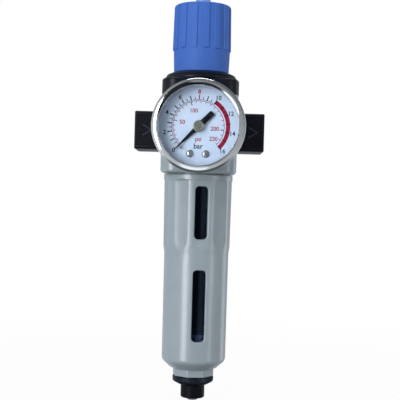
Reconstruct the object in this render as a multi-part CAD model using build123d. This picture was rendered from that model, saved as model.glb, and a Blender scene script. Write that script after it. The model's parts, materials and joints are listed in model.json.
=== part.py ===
from build123d import *

import math
import os

# Filter-regulator with pressure gauge, in millimetres.
# +X is the flow direction, -Y the front with the gauge, +Z up.
# The origin is where the axis through both ports crosses the upright axis of the bowl.

# ---------------------------------------------------------------- clearances
FIT = 0.05           # radial clearance of a shaft, thread or spigot in its bore
SEAT_GAP = 0.05      # a seal lying on its seat without being squeezed
OPEN_GAP = 0.3       # between separate bodies that pass each other
TOOL_MARGIN = 1.0    # how far a cutting or joining shape runs past the surface it meets

# ---------------------------------------------------------------- body casting
BODY_SIDE = 40.0
BODY_CORNER = 8.0
BODY_EDGE = 1.5
BODY_HEIGHT = 44.0
FLOW_R = 4.5         # cross bores behind the ports
FLOW_END = 9.5       # how near the cross bores come to the upright axis
INLET_DROP_R = 2.6
OUTLET_RISE_R = 2.5
PASSAGE_OUT = 2.0    # how far the upright passages stand outside the ends of the cross bores
TAP_R = 4.3          # gauge thread bore, front and back
TAP_DEPTH = 8.0
TAP_RISE_R = 1.1
TAP_RISE_INSET = 0.2   # from the end of the tapping to the upright passage
THREAD_R = 16.6      # bowl guard thread
SUMP_TOP = -6.0      # roof of the ring-shaped dirty-air space
SLEEVE_WALL = 1.6
VALVE_BORE_R = 7.0
VALVE_STEP = 2.0     # height of the step that carries the valve seat
THROAT_R = 5.0

# ---------------------------------------------------------------- diaphragm and bonnet
DIAPHRAGM_R = 17.0
DIAPHRAGM_T = 1.2
CHAMBER_R = 14.5
RELIEF_STEM_R = 2.5
RELIEF_BORE_R = 1.2
RELIEF_FLANGE_R = 6.0
RELIEF_FLANGE_T = 1.2
PLATE_R = 12.5
PLATE_T = 1.4
PLATE_BOSS_R = 6.6
PLATE_BOSS_H = 1.6
DIAPHRAGM_STROKE = 1.2
STROKE_SPARE = 0.4   # left under the relief seat at full stroke
FLANGE_PROUD = 0.25
FLANGE_H = 5.7
FLANGE_EDGE = 1.2
CAGE_R = 13.3
CAGE_H = 24.3
CAGE_ROOF = 3.5
NECK_R = 15.0
BONNET_RECESS = 2.2
KEY_WIDTH = 2.0
KEY_DEPTH = 1.3
RING_R = 19.65
RING_TOP_R = 15.9
RING_H = 3.9
RING_RIM = 1.1
RING_GAP = 0.2
SCREW_INSET = 5.8
SCREW_R = 1.5
SCREW_HEAD_R = 2.75
SCREW_HEAD_H = 2.6
SCREW_LENGTH = 12.0
SCREW_SINK = 0.3
SCREW_SOCKET = 1.6   # key size of a socket screw, in shank radii

# ---------------------------------------------------------------- spindle, nut and main spring
SPINDLE_R = 3.0
SPINDLE_PITCH = 1.5
SPINDLE_TURNS = 5
SHAFT_R = 3.5
COLLAR_R = 6.0
COLLAR_T = 1.4
HEX_FLATS = 8.0
HEX_GRIP = 3.1       # what still holds the head when the knob is pulled up
CLIP_R = 5.4
CLIP_T = 0.8
CLIP_GROOVE = 0.6
NUT_R = 10.2
NUT_T = 4.5
NUT_GAP = 0.4
SPRING_WIRE = 2.0
SPRING_MEAN_R = 8.1
SPRING_COILS = 4

# ---------------------------------------------------------------- knob
KNOB_GAP = 0.3
KNOB_H = 36.3
SKIRT_H = 12.1
SKIRT_FOOT_R = 14.75
SKIRT_TOP_R = 15.15
RIB_FOOT_R = 15.65
RIB_TOP_R = 15.25
RIB_PROUD = 0.65
RIB_WIDTH = 3.2
RIB_COUNT = 15
RIB_START = 8.7      # degrees from the front to the first rib
KNOB_EDGE = 1.5
KNOB_ROOF = 2.5
SOCKET_BOSS_R = 7.5
KNOB_PULL = 4.0
BUTTON_R = 3.95
BUTTON_PROUD = 4.5
BUTTON_TRAVEL = 3.0
BUTTON_GUIDE = 3.6
BUTTON_EDGE = 0.8

# ---------------------------------------------------------------- valve
SEAT_FLANGE_T = 1.8
SEAT_SPIGOT_H = 3.0
SEAT_BORE_R = 3.2
SEAT_NOSE_WALL = 0.7
SEAT_NOSE_H = 0.7
DISC_R = 4.4
DISC_T = 1.25
POPPET_R = 4.9
POPPET_T = 1.2
STEM_R = 1.0
STEM_TIP_R = 1.6
STEM_TIP_H = 2.0
GUIDE_R = 2.0
GUIDE_L = 6.5
VALVE_SPRING_H = 5.5
VALVE_WIRE = 0.7
VALVE_SPRING_R = 3.4
VALVE_COILS = 4
CAGE_WALL = 1.1
GUIDE_SPARE = 0.5    # left under the valve's guide at full stroke
FLOW_HOLES = 6
FLOW_HOLE_R = 1.2
FLOW_HOLE_AT = 4.4

# ---------------------------------------------------------------- filter
ROD_R = 2.45
ROD_THREAD = 1.7
VANE_HUB_R = 9.6
VANE_BORE_R = 6.3
VANE_H = 5.0
VANE_COUNT = 10
VANE_TIP_R = 12.5
VANE_TILT = 40.0
VANE_T = 1.0
FILTER_R = 9.2
FILTER_BORE_R = 6.3
FILTER_L = 28.0
BAFFLE_R = 11.8
BAFFLE_DROP = 5.5
BAFFLE_T = 2.2
BAFFLE_RIM = 1.0
ROD_HEAD_R = 5.0
ROD_HEAD_H = 2.8

# ---------------------------------------------------------------- bowl and drain
BOWL_R = 14.7
BOWL_WALL = 1.7
BOWL_RIM_GAP = 2.0
BOWL_DEPTH = 110.5   # inside
BOWL_FLOOR_T = 3.0
BOWL_CORNER = 4.0
BOWL_INNER_CORNER = 1.0
BOWL_FLANGE_T = 1.5
RING_SECTION = 1.6   # bowl O-ring
BOSS_R = 7.7
BOSS_L = 12.5
DRAIN_BORE_R = 4.5
DRAIN_HOLE_R = 1.2
DRAIN_SEAL_T = 0.95
DRAIN_PITCH = 1.5    # drop of the stem in one turn of the collar
SPIGOT_R = 6.4
SPIGOT_L = 8.2
SPIGOT_EDGE = 0.8
TIP_R = 2.9
TIP_PROUD = 1.3
TIP_DEPTH = 3.0
DRAIN_RING_SECTION = 1.2
DRAIN_RING_RISE = 5.0  # the ring above the boss's end when the drain is open
COLLAR_TOP_GAP = 0.3
COLLAR_KNURL_R = 11.0
COLLAR_KNURL_H = 2.6
COLLAR_FOOT_T = 1.3
COLLAR_EDGE = 1.5
COLLAR_ROOT_R = 6.9
KNURL_COUNT = 60
KNURL_DEPTH = 0.25
CLIP_RING_T = 0.8
CLIP_RING_OUT = 1.0
SCREEN_WALL = 1.2
SCREEN_H = 11.4
SCREEN_HOLES = 36
SCREEN_HOLE_R = 0.5
SCREEN_HOLE_DROP = 1.9

# ---------------------------------------------------------------- bowl guard
GUARD_TURNED = 7.5   # degrees: the windows face a little to the right of the front
GUARD_SLACK = 0.4    # radial, round the bowl
GUARD_SEAM = 0.5     # shadow line under the body
GUARD_BAND_R = 18.5
GUARD_BAND_H = 3.0
GUARD_BAND_EDGE = 0.6
GRIP_R = 18.2
GRIP_END_R = 17.8
GRIP_L = 38.5
GRIP_TAPER = 3.5
TUBE_R = 17.3
TUBE_FOOT_R = 17.1
TUBE_FOOT_RISE = 2.0   # above the bowl's end
TUBE_FOOT_EDGE = 4.0
SHOULDER_R = 12.8
SHOULDER_DROP = 4.2    # below the bowl's end
OCTAGON_L = 4.5
GUARD_OCTAGON_R = 11.45
GUARD_FLOOR_GAP = 0.5
GUARD_PITCH = 1.5
GUARD_TURNS = 3
FLUTE_COUNT = 10
FLUTE_DEPTH = 0.75
FLUTE_CUTTER_R = 30.0
FLUTE_END_R = 6.0
FLUTE_DROP = 3.5       # below the guard's shoulder
FLUTE_RUNOUT = 1.0     # past the foot of the grip
WINDOW_WIDTH = 6.8
WINDOW_CORNER = 2.0
UPPER_WINDOW_DROP = 6.4    # below the guard's shoulder
UPPER_WINDOW_RISE = 4.4    # above the foot of the grip
LOWER_WINDOW_DROP = 8.4    # below the top of the tube
LOWER_WINDOW_RISE = 8.1    # above the bowl's floor

# ---------------------------------------------------------------- side plates and plugs
PLATE_DEPTH = 31.0
PLATE_HEIGHT = 20.0
PLATE_LENGTH = 14.0
PLATE_CORNER = 1.5
PLATE_EDGE = 0.5
PORT_R = 5.72        # minor radius of a G1/4 thread
PORT_DEPTH = 12.0
PLATE_SCREW_AT = 11.0
PLATE_SCREW_R = 2.0
PLATE_HEAD_R = 3.5
PLATE_HEAD_H = 4.0
PLATE_SCREW_GRIP = 8.0
PORT_SEAL_R = 6.6
PORT_SEAL_SECTION = 1.6
PLUG_FLANGE_R = 6.8
PLUG_FLANGE_T = 2.6
PLUG_SEAL_T = 1.2
PLUG_HEX = 5.0
PLUG_HEX_DEPTH = 4.0
PLUG_EDGE = 0.5

# ---------------------------------------------------------------- gauge
GAUGE_SEAL_T = 1.5
GAUGE_SEAL_R = 7.5
SHANK_FLATS = 12.0
SHANK_L = 8.0
SOCKET_BORE_R = 1.0
SOCKET_SLOT_ANGLE = 20.0   # how far the tube's root slot runs into the block
CASE_R = 21.2
CASE_WALL = 0.9
CASE_DEPTH = 20.0
CASE_LIP_W = 0.8
CASE_LIP_T = 0.8
CASE_HOLE_R = 7.1
BLOCK_W = 24.0
BLOCK_H = 10.0
BLOCK_T = 5.6
BLOCK_FOOT_W = 10.0
BLOCK_FOOT_DROP = 18.0
CASE_SCREW_AT = 9.2
CASE_SCREW_R = 0.9
CASE_SCREW_HEAD_R = 1.7
CASE_SCREW_HEAD_H = 0.9
CASE_SCREW_L = 4.0
TUBE_MEAN_R = 16.0
TUBE_WIDE = 5.4
TUBE_THIN = 2.0
TUBE_WALL = 0.3
TUBE_TIP_ANGLE = -8.0
TUBE_ROOT_ANGLE = 258.0
TIP_BLOCK = 3.0
TIP_PIN_R = 0.5
MOVEMENT_PLATE_T = 1.0
MOVEMENT_SPAN = 5.5
PILLAR_R = 1.0
PILLAR_EAR = 1.9
POST_EAR_SHIFT = 1.0   # the ear round a dial post stands outward of it
PILLARS = ((-8.5, 1.5), (8.5, 1.5), (-5.5, -14.5))
DIAL_INSET = 2.5       # its back, behind the front of the case
DIAL_T = 0.5
DIAL_GAP = 0.2
DIAL_HOLE_R = 1.5
DIAL_SCREW_AT = (3.85, -13.4)
DIAL_SCREW_R = 0.8
DIAL_SCREW_HEAD_R = 1.85
DIAL_SCREW_HEAD_H = 1.0
DIAL_SCREW_EDGE = 0.6
DIAL_POST_R = 1.9
STOP_PIN_R = 0.8
STOP_PIN_AT = 13.4
STOP_PIN_H = 1.7       # above the dial
POINTER_LIFT = 1.1
POINTER_T = 0.35
POINTER_TIP_L = 17.0
POINTER_WIDTH = 1.7
POINTER_TIP_WIDTH = 0.35
POINTER_POINT = 1.0
POINTER_TAIL_L = 9.7
POINTER_TAIL_WIDTH = 2.7
HUB_R = 2.75
HUB_H = 1.1
HUB_EDGE = 0.3
HUB_DIMPLE_R = 0.45
ARBOR_R = 0.6
LENS_T = 1.4
LENS_R = 20.6
BEZEL_WALL = 1.0
BEZEL_SKIRT = 1.9      # behind the front of the case
BEZEL_WIDEST_AT = 1.3  # before it
BEZEL_CREST = 2.3      # before the window
BEZEL_OPENING_R = 19.5
BEZEL_LIP = 0.9
GASKET_W = 1.0
GASKET_T = 1.8

# ---------------------------------------------------------------- gauge movement
MODULE = 0.3
PINION_TEETH = 9
SECTOR_TEETH = 63    # of a whole wheel
SCALE_ANGLE = 270.0
SCALE_START = -135.0 # degrees clockwise from the top
ADDENDUM = 0.8
DEDENDUM = 1.15
TOOTH_SHARE = 0.40
TAIL_R = 5.0
TAIL_WIDTH = 0.8       # of the link's eye
SECTOR_HUB_R = 1.7
SECTOR_LAYER = 2.8   # above the back of the movement
GEAR_T = 1.0
PINION_T = 2.0
LINK_LAYER = 1.6
LINK_T = 0.8
LINK_EYE_R = 1.5
LINK_PIN_R = 0.45
LINK_SLACK = 0.35    # the eye round the tube tip's pin is slack
SPIRAL_TURNS = 4
SPIRAL_WIDTH = 0.15
SPIRAL_HEIGHT = 0.6
SPIRAL_STEP = 0.55
SPIRAL_LAYER = 4.9

# ---------------------------------------------------------------- sizes and levels that follow from these
BODY_FACE = BODY_SIDE / 2
BODY_TOP = BODY_HEIGHT / 2
BODY_BOTTOM = -BODY_TOP
FLANGE_SIDE = BODY_SIDE + 2 * FLANGE_PROUD
SCREW_OFFSET = BODY_FACE - SCREW_INSET
FLANGE_TOP = BODY_TOP + FLANGE_H
RING_FOOT = FLANGE_TOP + RING_GAP
RING_TOP = RING_FOOT + RING_H
CAGE_TOP = FLANGE_TOP + CAGE_H
CAGE_BORE_R = NUT_R + OPEN_GAP
CAVITY_TOP = CAGE_TOP - CAGE_ROOF
DIAPHRAGM_FOOT = BODY_TOP - DIAPHRAGM_T
CHAMBER_FLOOR = DIAPHRAGM_FOOT - RELIEF_FLANGE_T - DIAPHRAGM_STROKE - STROKE_SPARE
SPRING_FOOT = BODY_TOP + PLATE_T
COLLAR_FOOT = CAVITY_TOP - FIT - COLLAR_T
NUT_TOP = COLLAR_FOOT - NUT_GAP
NUT_FOOT = NUT_TOP - NUT_T
NUT_TRAVEL = SPINDLE_PITCH * SPINDLE_TURNS
KNOB_FOOT = RING_TOP + KNOB_GAP
KNOB_TOP = KNOB_FOOT + KNOB_H
KNOB_BORE_R = CAGE_R + 1.5 * OPEN_GAP
RIB_FOOT = KNOB_FOOT + SKIRT_H
HEX_FOOT = CAGE_TOP + CLIP_T + 2 * FIT
HEX_TOP = HEX_FOOT + KNOB_PULL + HEX_GRIP
SOCKET_TOP = HEX_TOP + 2 * OPEN_GAP
BOSS_FOOT = CAGE_TOP + 2 * CLIP_T + OPEN_GAP
BUTTON_TOP = KNOB_TOP + BUTTON_PROUD
BUTTON_FOOT = KNOB_TOP - BUTTON_GUIDE
BUTTON_POCKET = BUTTON_FOOT - BUTTON_TRAVEL - FIT
SEAT_FOOT = VALVE_STEP - SEAT_FLANGE_T
NOSE_FOOT = SEAT_FOOT - SEAT_NOSE_H
DISC_TOP = NOSE_FOOT - SEAT_GAP
POPPET_TOP = DISC_TOP - DISC_T
POPPET_FOOT = POPPET_TOP - POPPET_T
RELIEF_FOOT = DIAPHRAGM_FOOT - RELIEF_FLANGE_T
STEM_TOP = RELIEF_FOOT - SEAT_GAP
CAGE_FLOOR_TOP = POPPET_FOOT - VALVE_SPRING_H
CAGE_THREAD_TOP = POPPET_FOOT - GUIDE_L - DIAPHRAGM_STROKE - GUIDE_SPARE
CAGE_FOOT = CAGE_THREAD_TOP - ROD_THREAD
SLEEVE_R = VALVE_BORE_R + SLEEVE_WALL
SLEEVE_FOOT = CAGE_FOOT - 2 * SEAT_GAP
FILTER_TOP = SLEEVE_FOOT - VANE_H
FILTER_FOOT = FILTER_TOP - FILTER_L
HUB_FOOT = FILTER_FOOT - BAFFLE_T
THREAD_DEPTH = GUARD_TURNS * GUARD_PITCH + RING_SECTION + BOWL_FLANGE_T + 8 * SEAT_GAP
THREAD_TOP = BODY_BOTTOM + THREAD_DEPTH
BOWL_BORE_R = BOWL_R - BOWL_WALL
BOWL_FLANGE_R = THREAD_R - OPEN_GAP
BOWL_TOP = SUMP_TOP - BOWL_RIM_GAP
BOWL_FLOOR = BOWL_TOP - BOWL_DEPTH
BOWL_END = BOWL_FLOOR - BOWL_FLOOR_T
RING_CENTRE_Z = THREAD_TOP - RING_SECTION / 2 - 3 * SEAT_GAP
BOWL_FLANGE_TOP = RING_CENTRE_Z - RING_SECTION / 2 - SEAT_GAP
BOWL_FLANGE_FOOT = BOWL_FLANGE_TOP - BOWL_FLANGE_T
SCREEN_R = BOWL_BORE_R - 4 * SEAT_GAP
SCREEN_FOOT = BOWL_FLOOR + SEAT_GAP
BOSS_END = BOWL_END - BOSS_L
GUARD_NECK_R = THREAD_R - 2 * FIT
GUARD_BORE_R = BOWL_R + GUARD_SLACK
GUARD_TOP = BOWL_FLANGE_FOOT - SEAT_GAP
GUARD_SHOULDER = BODY_BOTTOM - GUARD_SEAM
GRIP_FOOT = GUARD_SHOULDER - GRIP_L
TUBE_TOP = GRIP_FOOT - GRIP_TAPER
TUBE_FOOT = BOWL_END + TUBE_FOOT_RISE
OCTAGON_TOP = BOWL_END - SHOULDER_DROP
GUARD_END = OCTAGON_TOP - OCTAGON_L
FLUTE_TOP = GUARD_SHOULDER - FLUTE_DROP
FLUTE_FOOT = GRIP_FOOT - FLUTE_RUNOUT
UPPER_WINDOW = (GRIP_FOOT + UPPER_WINDOW_RISE, GUARD_SHOULDER - UPPER_WINDOW_DROP)
LOWER_WINDOW = (BOWL_FLOOR + LOWER_WINDOW_RISE, TUBE_TOP - LOWER_WINDOW_DROP)
COLLAR_TOP = GUARD_END - COLLAR_TOP_GAP
COLLAR_END = BOSS_END - COLLAR_FOOT_T
CLIP_FOOT = COLLAR_TOP - 2 * CLIP_RING_T
CLIP_TOP = CLIP_FOOT + CLIP_RING_T
SPIGOT_TOP = BOSS_END - SEAT_GAP
SPIGOT_END = BOSS_END - SPIGOT_L
DRAIN_RING_AT = BOSS_END + DRAIN_PITCH + DRAIN_RING_RISE
DRAIN_SEAL_TOP = BOWL_END - SEAT_GAP
STEM_HEAD = DRAIN_SEAL_TOP - DRAIN_SEAL_T
TIP_END = SPIGOT_END - TIP_PROUD
PLATE_FACE = BODY_FACE + PLATE_LENGTH

# The gauge's levels are distances forward from the port axis.
CASE_BACK = BODY_FACE + GAUGE_SEAL_T + SHANK_L
CASE_FRONT = CASE_BACK + CASE_DEPTH
CASE_LIP_R = CASE_R + CASE_LIP_W
BLOCK_BACK = CASE_BACK + CASE_WALL
BLOCK_FRONT = BLOCK_BACK + BLOCK_T
TUBE_LEVEL = (BLOCK_BACK + BLOCK_FRONT) / 2
MOVEMENT_FRONT = BLOCK_FRONT + MOVEMENT_PLATE_T + MOVEMENT_SPAN
POSTS_FOOT = MOVEMENT_FRONT + MOVEMENT_PLATE_T
DIAL_BACK = CASE_FRONT - DIAL_INSET
DIAL_FRONT = DIAL_BACK + DIAL_T
DIAL_R = CASE_R - CASE_WALL - DIAL_GAP
POINTER_BACK = DIAL_FRONT + POINTER_LIFT
POINTER_FRONT = POINTER_BACK + POINTER_T
HUB_FRONT = POINTER_FRONT + HUB_H
LENS_BACK = CASE_FRONT + GASKET_T
LENS_FRONT = LENS_BACK + LENS_T
BEZEL_R = CASE_LIP_R + BEZEL_WALL
BEZEL_BACK = CASE_FRONT - BEZEL_SKIRT
BEZEL_WIDEST = CASE_FRONT + BEZEL_WIDEST_AT
BEZEL_FRONT = LENS_FRONT + BEZEL_CREST
PINION_R = MODULE * PINION_TEETH / 2
SECTOR_R = MODULE * SECTOR_TEETH / 2
GEAR_CENTRES = PINION_R + SECTOR_R
SECTOR_SWING = SCALE_ANGLE * PINION_TEETH / SECTOR_TEETH


# ---------------------------------------------------------------- small helpers
def disc(radius, low, high):
    """A plain cylinder on the upright axis."""
    level = Align.CENTER, Align.CENTER, Align.MIN
    return Pos(0, 0, low) * Cylinder(radius, high - low, align=level)


def ring(outer, inner, low, high):
    """A tube on the upright axis."""
    return disc(outer, low, high) - disc(inner, low, high)


def turned(*points):
    """A lathe-turned piece from its half outline, as (radius, height) points."""
    outline = make_face(Plane.XZ * Polyline(*points, close=True))
    return revolve(outline, axis=Axis.Z)


def around(piece, count, start=0.0):
    """Copies of a piece spaced evenly about the upright axis."""
    return [Rot(0, 0, start + 360 / count * step) * piece for step in range(count)]


def prism(radius, sides, low, high, turn=0.0):
    """An upright bar with a regular outline, its corners at the radius."""
    outline = RegularPolygon(radius, sides, rotation=turn)
    return Pos(0, 0, low) * extrude(outline, high - low)


def hexagon(flats, low, high):
    """An upright six-sided bar, measured across its flats."""
    return prism(flats / math.sqrt(3), 6, low, high)


def helix_spring(mean_radius, wire, low, high, coils):
    """A round-wire coil spring whose ends rest on the two heights."""
    rest = wire / 2 + FIT
    path = Pos(0, 0, low + rest) * Helix((high - low - 2 * rest) / coils, high - low - 2 * rest, mean_radius)
    section = Plane(path @ 0, z_dir=path % 0) * Circle(wire / 2)
    return sweep(section, path=path, is_frenet=True)


def o_ring(mean_radius, section, height):
    """A rubber ring of round section."""
    return Pos(0, 0, height) * Torus(mean_radius, section / 2)


def facing(piece):
    """Turns a piece drawn on the upright axis to face forward, with its local Y up."""
    return Rot(90, 0, 0) * piece


def sideways(piece, side):
    """Turns a piece drawn on the upright axis to point out of one side, +1 right or -1 left."""
    return Rot(0, 90 * side, 0) * piece


def circle_edges(piece, height, radius):
    """The round edges of a piece at one height and radius."""
    return [
        edge
        for edge in piece.edges().filter_by(GeomType.CIRCLE)
        if abs(edge.center().Z - height) < 1e-4 and abs(edge.radius - radius) < 1e-4
    ]


# ---------------------------------------------------------------- body casting
def rounded_block(side, corner, low, high):
    """A square upright block with rounded corners."""
    return Pos(0, 0, low) * extrude(RectangleRounded(side, side, corner), high - low)


def screw_places():
    """The four bonnet screws' axes."""
    return [(x * SCREW_OFFSET, y * SCREW_OFFSET) for x in (-1, 1) for y in (-1, 1)]


def body_casting():
    """The square body with its ports, valve bore, diaphragm chamber and guard thread."""
    body = rounded_block(BODY_SIDE, BODY_CORNER, BODY_BOTTOM, BODY_TOP)
    body = fillet(body.edges().group_by(Axis.Z)[0], BODY_EDGE)
    body -= disc(DIAPHRAGM_R + FIT, DIAPHRAGM_FOOT, BODY_TOP)
    body -= disc(CHAMBER_R, CHAMBER_FLOOR, DIAPHRAGM_FOOT)
    body -= disc(THROAT_R, VALVE_STEP, CHAMBER_FLOOR)
    body -= disc(THREAD_R, BODY_BOTTOM, THREAD_TOP)
    body -= disc(BOWL_R + 3 * FIT, THREAD_TOP, SLEEVE_FOOT)
    body -= ring(BOWL_R + 3 * FIT, SLEEVE_R, SLEEVE_FOOT, SUMP_TOP)
    body -= disc(VALVE_BORE_R, SLEEVE_FOOT, VALVE_STEP)
    passage = FLOW_END + PASSAGE_OUT
    screw_end = BODY_FACE - PLATE_SCREW_GRIP - OPEN_GAP
    for side in (-1, 1):
        body -= sideways(disc(FLOW_R, FLOW_END, BODY_FACE), side)
        body -= sideways(port_groove(), side)
        for place in (-PLATE_SCREW_AT, PLATE_SCREW_AT):
            body -= sideways(Pos(0, place, 0) * disc(PLATE_SCREW_R + FIT, screw_end, BODY_FACE), side)
    body -= Pos(-passage, 0, 0) * disc(INLET_DROP_R, SUMP_TOP, 0)
    body -= Pos(passage, 0, 0) * disc(OUTLET_RISE_R, 0, CHAMBER_FLOOR)
    for turn in (0, 180):
        body -= Rot(0, 0, turn) * facing(disc(TAP_R, BODY_FACE - TAP_DEPTH, BODY_FACE))
        body -= Rot(0, 0, turn) * tap_rise()
    for x, y in screw_places():
        body -= Pos(x, y, 0) * disc(SCREW_R + FIT, BODY_TOP - SCREW_LENGTH + SCREW_HEAD_H, BODY_TOP)
    return body


def tap_end():
    """How far from the port axis a thread in a gauge tapping ends, clear of the upright passage."""
    return BODY_FACE - TAP_DEPTH + TAP_RISE_INSET + 2 * TAP_RISE_R + OPEN_GAP


def tap_rise():
    """The small upright passage from the gauge tapping to the diaphragm chamber."""
    place = BODY_FACE - TAP_DEPTH + TAP_RISE_INSET + TAP_RISE_R
    return Pos(0, -place, 0) * disc(TAP_RISE_R, 0, CHAMBER_FLOOR)


def port_groove():
    """The groove for the seal between the body and a side plate, cut into the body's face."""
    half = PORT_SEAL_SECTION / 2 + FIT
    depth = PORT_SEAL_SECTION + 2 * SEAT_GAP
    return ring(PORT_SEAL_R + half, PORT_SEAL_R - half, BODY_FACE - depth, BODY_FACE)


# ---------------------------------------------------------------- bonnet and what it holds
def bonnet():
    """The square flange with the spring housing standing on it."""
    shell = rounded_block(FLANGE_SIDE, BODY_CORNER, BODY_TOP, FLANGE_TOP)
    shell = fillet(shell.edges().group_by(Axis.Z)[-1], FLANGE_EDGE)
    shell += disc(NECK_R, BODY_TOP, RING_TOP)
    shell += disc(CAGE_R, BODY_TOP, CAGE_TOP)
    shell -= disc(CHAMBER_R, BODY_TOP, BODY_TOP + BONNET_RECESS)
    shell -= disc(CAGE_BORE_R, BODY_TOP, CAVITY_TOP)
    shell -= disc(SHAFT_R + FIT, CAVITY_TOP, CAGE_TOP)
    key_low = BODY_TOP + BONNET_RECESS
    for side in (0, 180):
        key = Box(KEY_DEPTH + TOOL_MARGIN, KEY_WIDTH, CAVITY_TOP - key_low)
        reach = CAGE_BORE_R + (TOOL_MARGIN - KEY_DEPTH) / 2
        shell += Rot(0, 0, side) * Pos(reach, 0, (CAVITY_TOP + key_low) / 2) * key
    for x, y in screw_places():
        shell -= Pos(x, y, 0) * disc(SCREW_R + FIT, BODY_TOP, FLANGE_TOP)
        shell -= Pos(x, y, 0) * disc(SCREW_HEAD_R + FIT, FLANGE_TOP - SCREW_SINK - SCREW_HEAD_H, FLANGE_TOP)
    return shell


def bonnet_screws():
    """Four socket screws sunk in the flange."""
    head_foot = FLANGE_TOP - SCREW_SINK - SCREW_HEAD_H
    end = BODY_TOP - SCREW_LENGTH + SCREW_HEAD_H + OPEN_GAP
    screw = disc(SCREW_HEAD_R, head_foot, head_foot + SCREW_HEAD_H) + disc(SCREW_R, end, head_foot)
    screw -= hexagon(SCREW_R * SCREW_SOCKET, head_foot + SCREW_HEAD_H / 2, head_foot + SCREW_HEAD_H)
    return [Pos(x, y, 0) * screw for x, y in screw_places()]


def panel_nut():
    """The round ring on the neck, coned down to a thin rim."""
    nut = turned(
        (NECK_R + FIT, RING_FOOT),
        (RING_R, RING_FOOT),
        (RING_R, RING_FOOT + RING_RIM),
        (RING_TOP_R, RING_TOP),
        (NECK_R + FIT, RING_TOP),
    )
    return fillet(circle_edges(nut, RING_FOOT + RING_RIM, RING_R), RING_RIM / 3)


def diaphragm():
    """The rubber disc clamped between body and bonnet."""
    return ring(DIAPHRAGM_R, RELIEF_STEM_R + FIT, DIAPHRAGM_FOOT, BODY_TOP)


def diaphragm_plate():
    """The metal plate on the diaphragm, with a boss that centres the main spring."""
    plate = disc(PLATE_R, BODY_TOP, SPRING_FOOT)
    plate += disc(PLATE_BOSS_R, SPRING_FOOT, SPRING_FOOT + PLATE_BOSS_H)
    return plate - disc(RELIEF_STEM_R + FIT, BODY_TOP, SPRING_FOOT + PLATE_BOSS_H)


def relief_seat():
    """The hollow rivet through the diaphragm, whose lower face the valve stem closes."""
    seat = disc(RELIEF_FLANGE_R, RELIEF_FOOT, DIAPHRAGM_FOOT)
    seat += disc(RELIEF_STEM_R, DIAPHRAGM_FOOT, SPRING_FOOT + PLATE_BOSS_H)
    return seat - disc(RELIEF_BORE_R, RELIEF_FOOT, SPRING_FOOT + PLATE_BOSS_H)


def main_spring():
    """The range spring between the diaphragm plate and the spring nut."""
    return helix_spring(SPRING_MEAN_R, SPRING_WIRE, SPRING_FOOT, NUT_FOOT, SPRING_COILS)


def spring_nut():
    """The nut that travels on the spindle and is kept from turning by two keys."""
    nut = disc(NUT_R, NUT_FOOT, NUT_TOP) - disc(SPINDLE_R + FIT, NUT_FOOT, NUT_TOP)
    slot = Box(KEY_DEPTH + 2 * OPEN_GAP, KEY_WIDTH + 2 * OPEN_GAP, NUT_T)
    reach = CAGE_BORE_R - KEY_DEPTH / 2
    for side in (0, 180):
        nut -= Rot(0, 0, side) * Pos(reach, 0, (NUT_FOOT + NUT_TOP) / 2) * slot
    return nut


def spindle():
    """The adjusting screw: thread, thrust collar, plain shaft and six-sided head."""
    thread_foot = NUT_FOOT - NUT_TRAVEL - 2 * OPEN_GAP
    screw = disc(SPINDLE_R, thread_foot, COLLAR_FOOT)
    screw += disc(COLLAR_R, COLLAR_FOOT, COLLAR_FOOT + COLLAR_T)
    screw += disc(SHAFT_R, COLLAR_FOOT + COLLAR_T, HEX_FOOT)
    screw += hexagon(HEX_FLATS, HEX_FOOT, HEX_TOP)
    screw = chamfer(screw.edges().group_by(Axis.Z)[0], SPINDLE_R / 6)
    return screw - ring(CLIP_R, SHAFT_R - CLIP_GROOVE, CAGE_TOP + FIT, CAGE_TOP + FIT + CLIP_T)


def spindle_clip():
    """The spring clip in the shaft's groove, on top of the housing."""
    clip = ring(CLIP_R, SHAFT_R - CLIP_GROOVE + FIT / 2, CAGE_TOP + 1.5 * FIT, CAGE_TOP + CLIP_T + FIT / 2)
    mouth = Box(CLIP_R, SHAFT_R, 2 * CLIP_T)
    return clip - Pos(CLIP_R / 2, 0, CAGE_TOP + CLIP_T / 2) * mouth


# ---------------------------------------------------------------- knob
def adjusting_knob():
    """The ribbed knob: smooth skirt, tapered ribbed grip, and a socket for the spindle head."""
    knob = turned(
        (0, KNOB_FOOT),
        (SKIRT_FOOT_R, KNOB_FOOT),
        (SKIRT_TOP_R, RIB_FOOT),
        (RIB_FOOT_R - RIB_PROUD, RIB_FOOT),
        (RIB_TOP_R - RIB_PROUD, KNOB_TOP),
        (0, KNOB_TOP),
    )
    ribs = turned(
        (0, RIB_FOOT),
        (RIB_FOOT_R, RIB_FOOT),
        (RIB_TOP_R, KNOB_TOP),
        (0, KNOB_TOP),
    )
    rib = (Pos(0, -RIB_FOOT_R / 2, 0) * rib_bar()) & ribs
    knob += around(rib, RIB_COUNT, RIB_START)
    knob &= turned_crown()
    knob -= ring(KNOB_BORE_R, SOCKET_BOSS_R, BOSS_FOOT, KNOB_TOP - KNOB_ROOF)
    knob -= disc(KNOB_BORE_R, KNOB_FOOT, BOSS_FOOT)
    knob -= hexagon(HEX_FLATS + 2 * FIT, HEX_FOOT, SOCKET_TOP)
    knob -= disc(BUTTON_R + FIT, BUTTON_POCKET, KNOB_TOP)
    return knob


def rib_bar():
    """The upright bar that one rib is cut from."""
    bar = Box(RIB_WIDTH, RIB_FOOT_R, KNOB_TOP - RIB_FOOT)
    return Pos(0, 0, (KNOB_TOP + RIB_FOOT) / 2) * bar


def turned_crown():
    """The round envelope that gives the knob and its ribs their rounded top edge."""
    crown = disc(RIB_TOP_R, KNOB_TOP - 2 * KNOB_EDGE, KNOB_TOP)
    crown = fillet(circle_edges(crown, KNOB_TOP, RIB_TOP_R), KNOB_EDGE)
    return crown + disc(RIB_FOOT_R + TOOL_MARGIN, KNOB_FOOT, KNOB_TOP - 2 * KNOB_EDGE)


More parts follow.
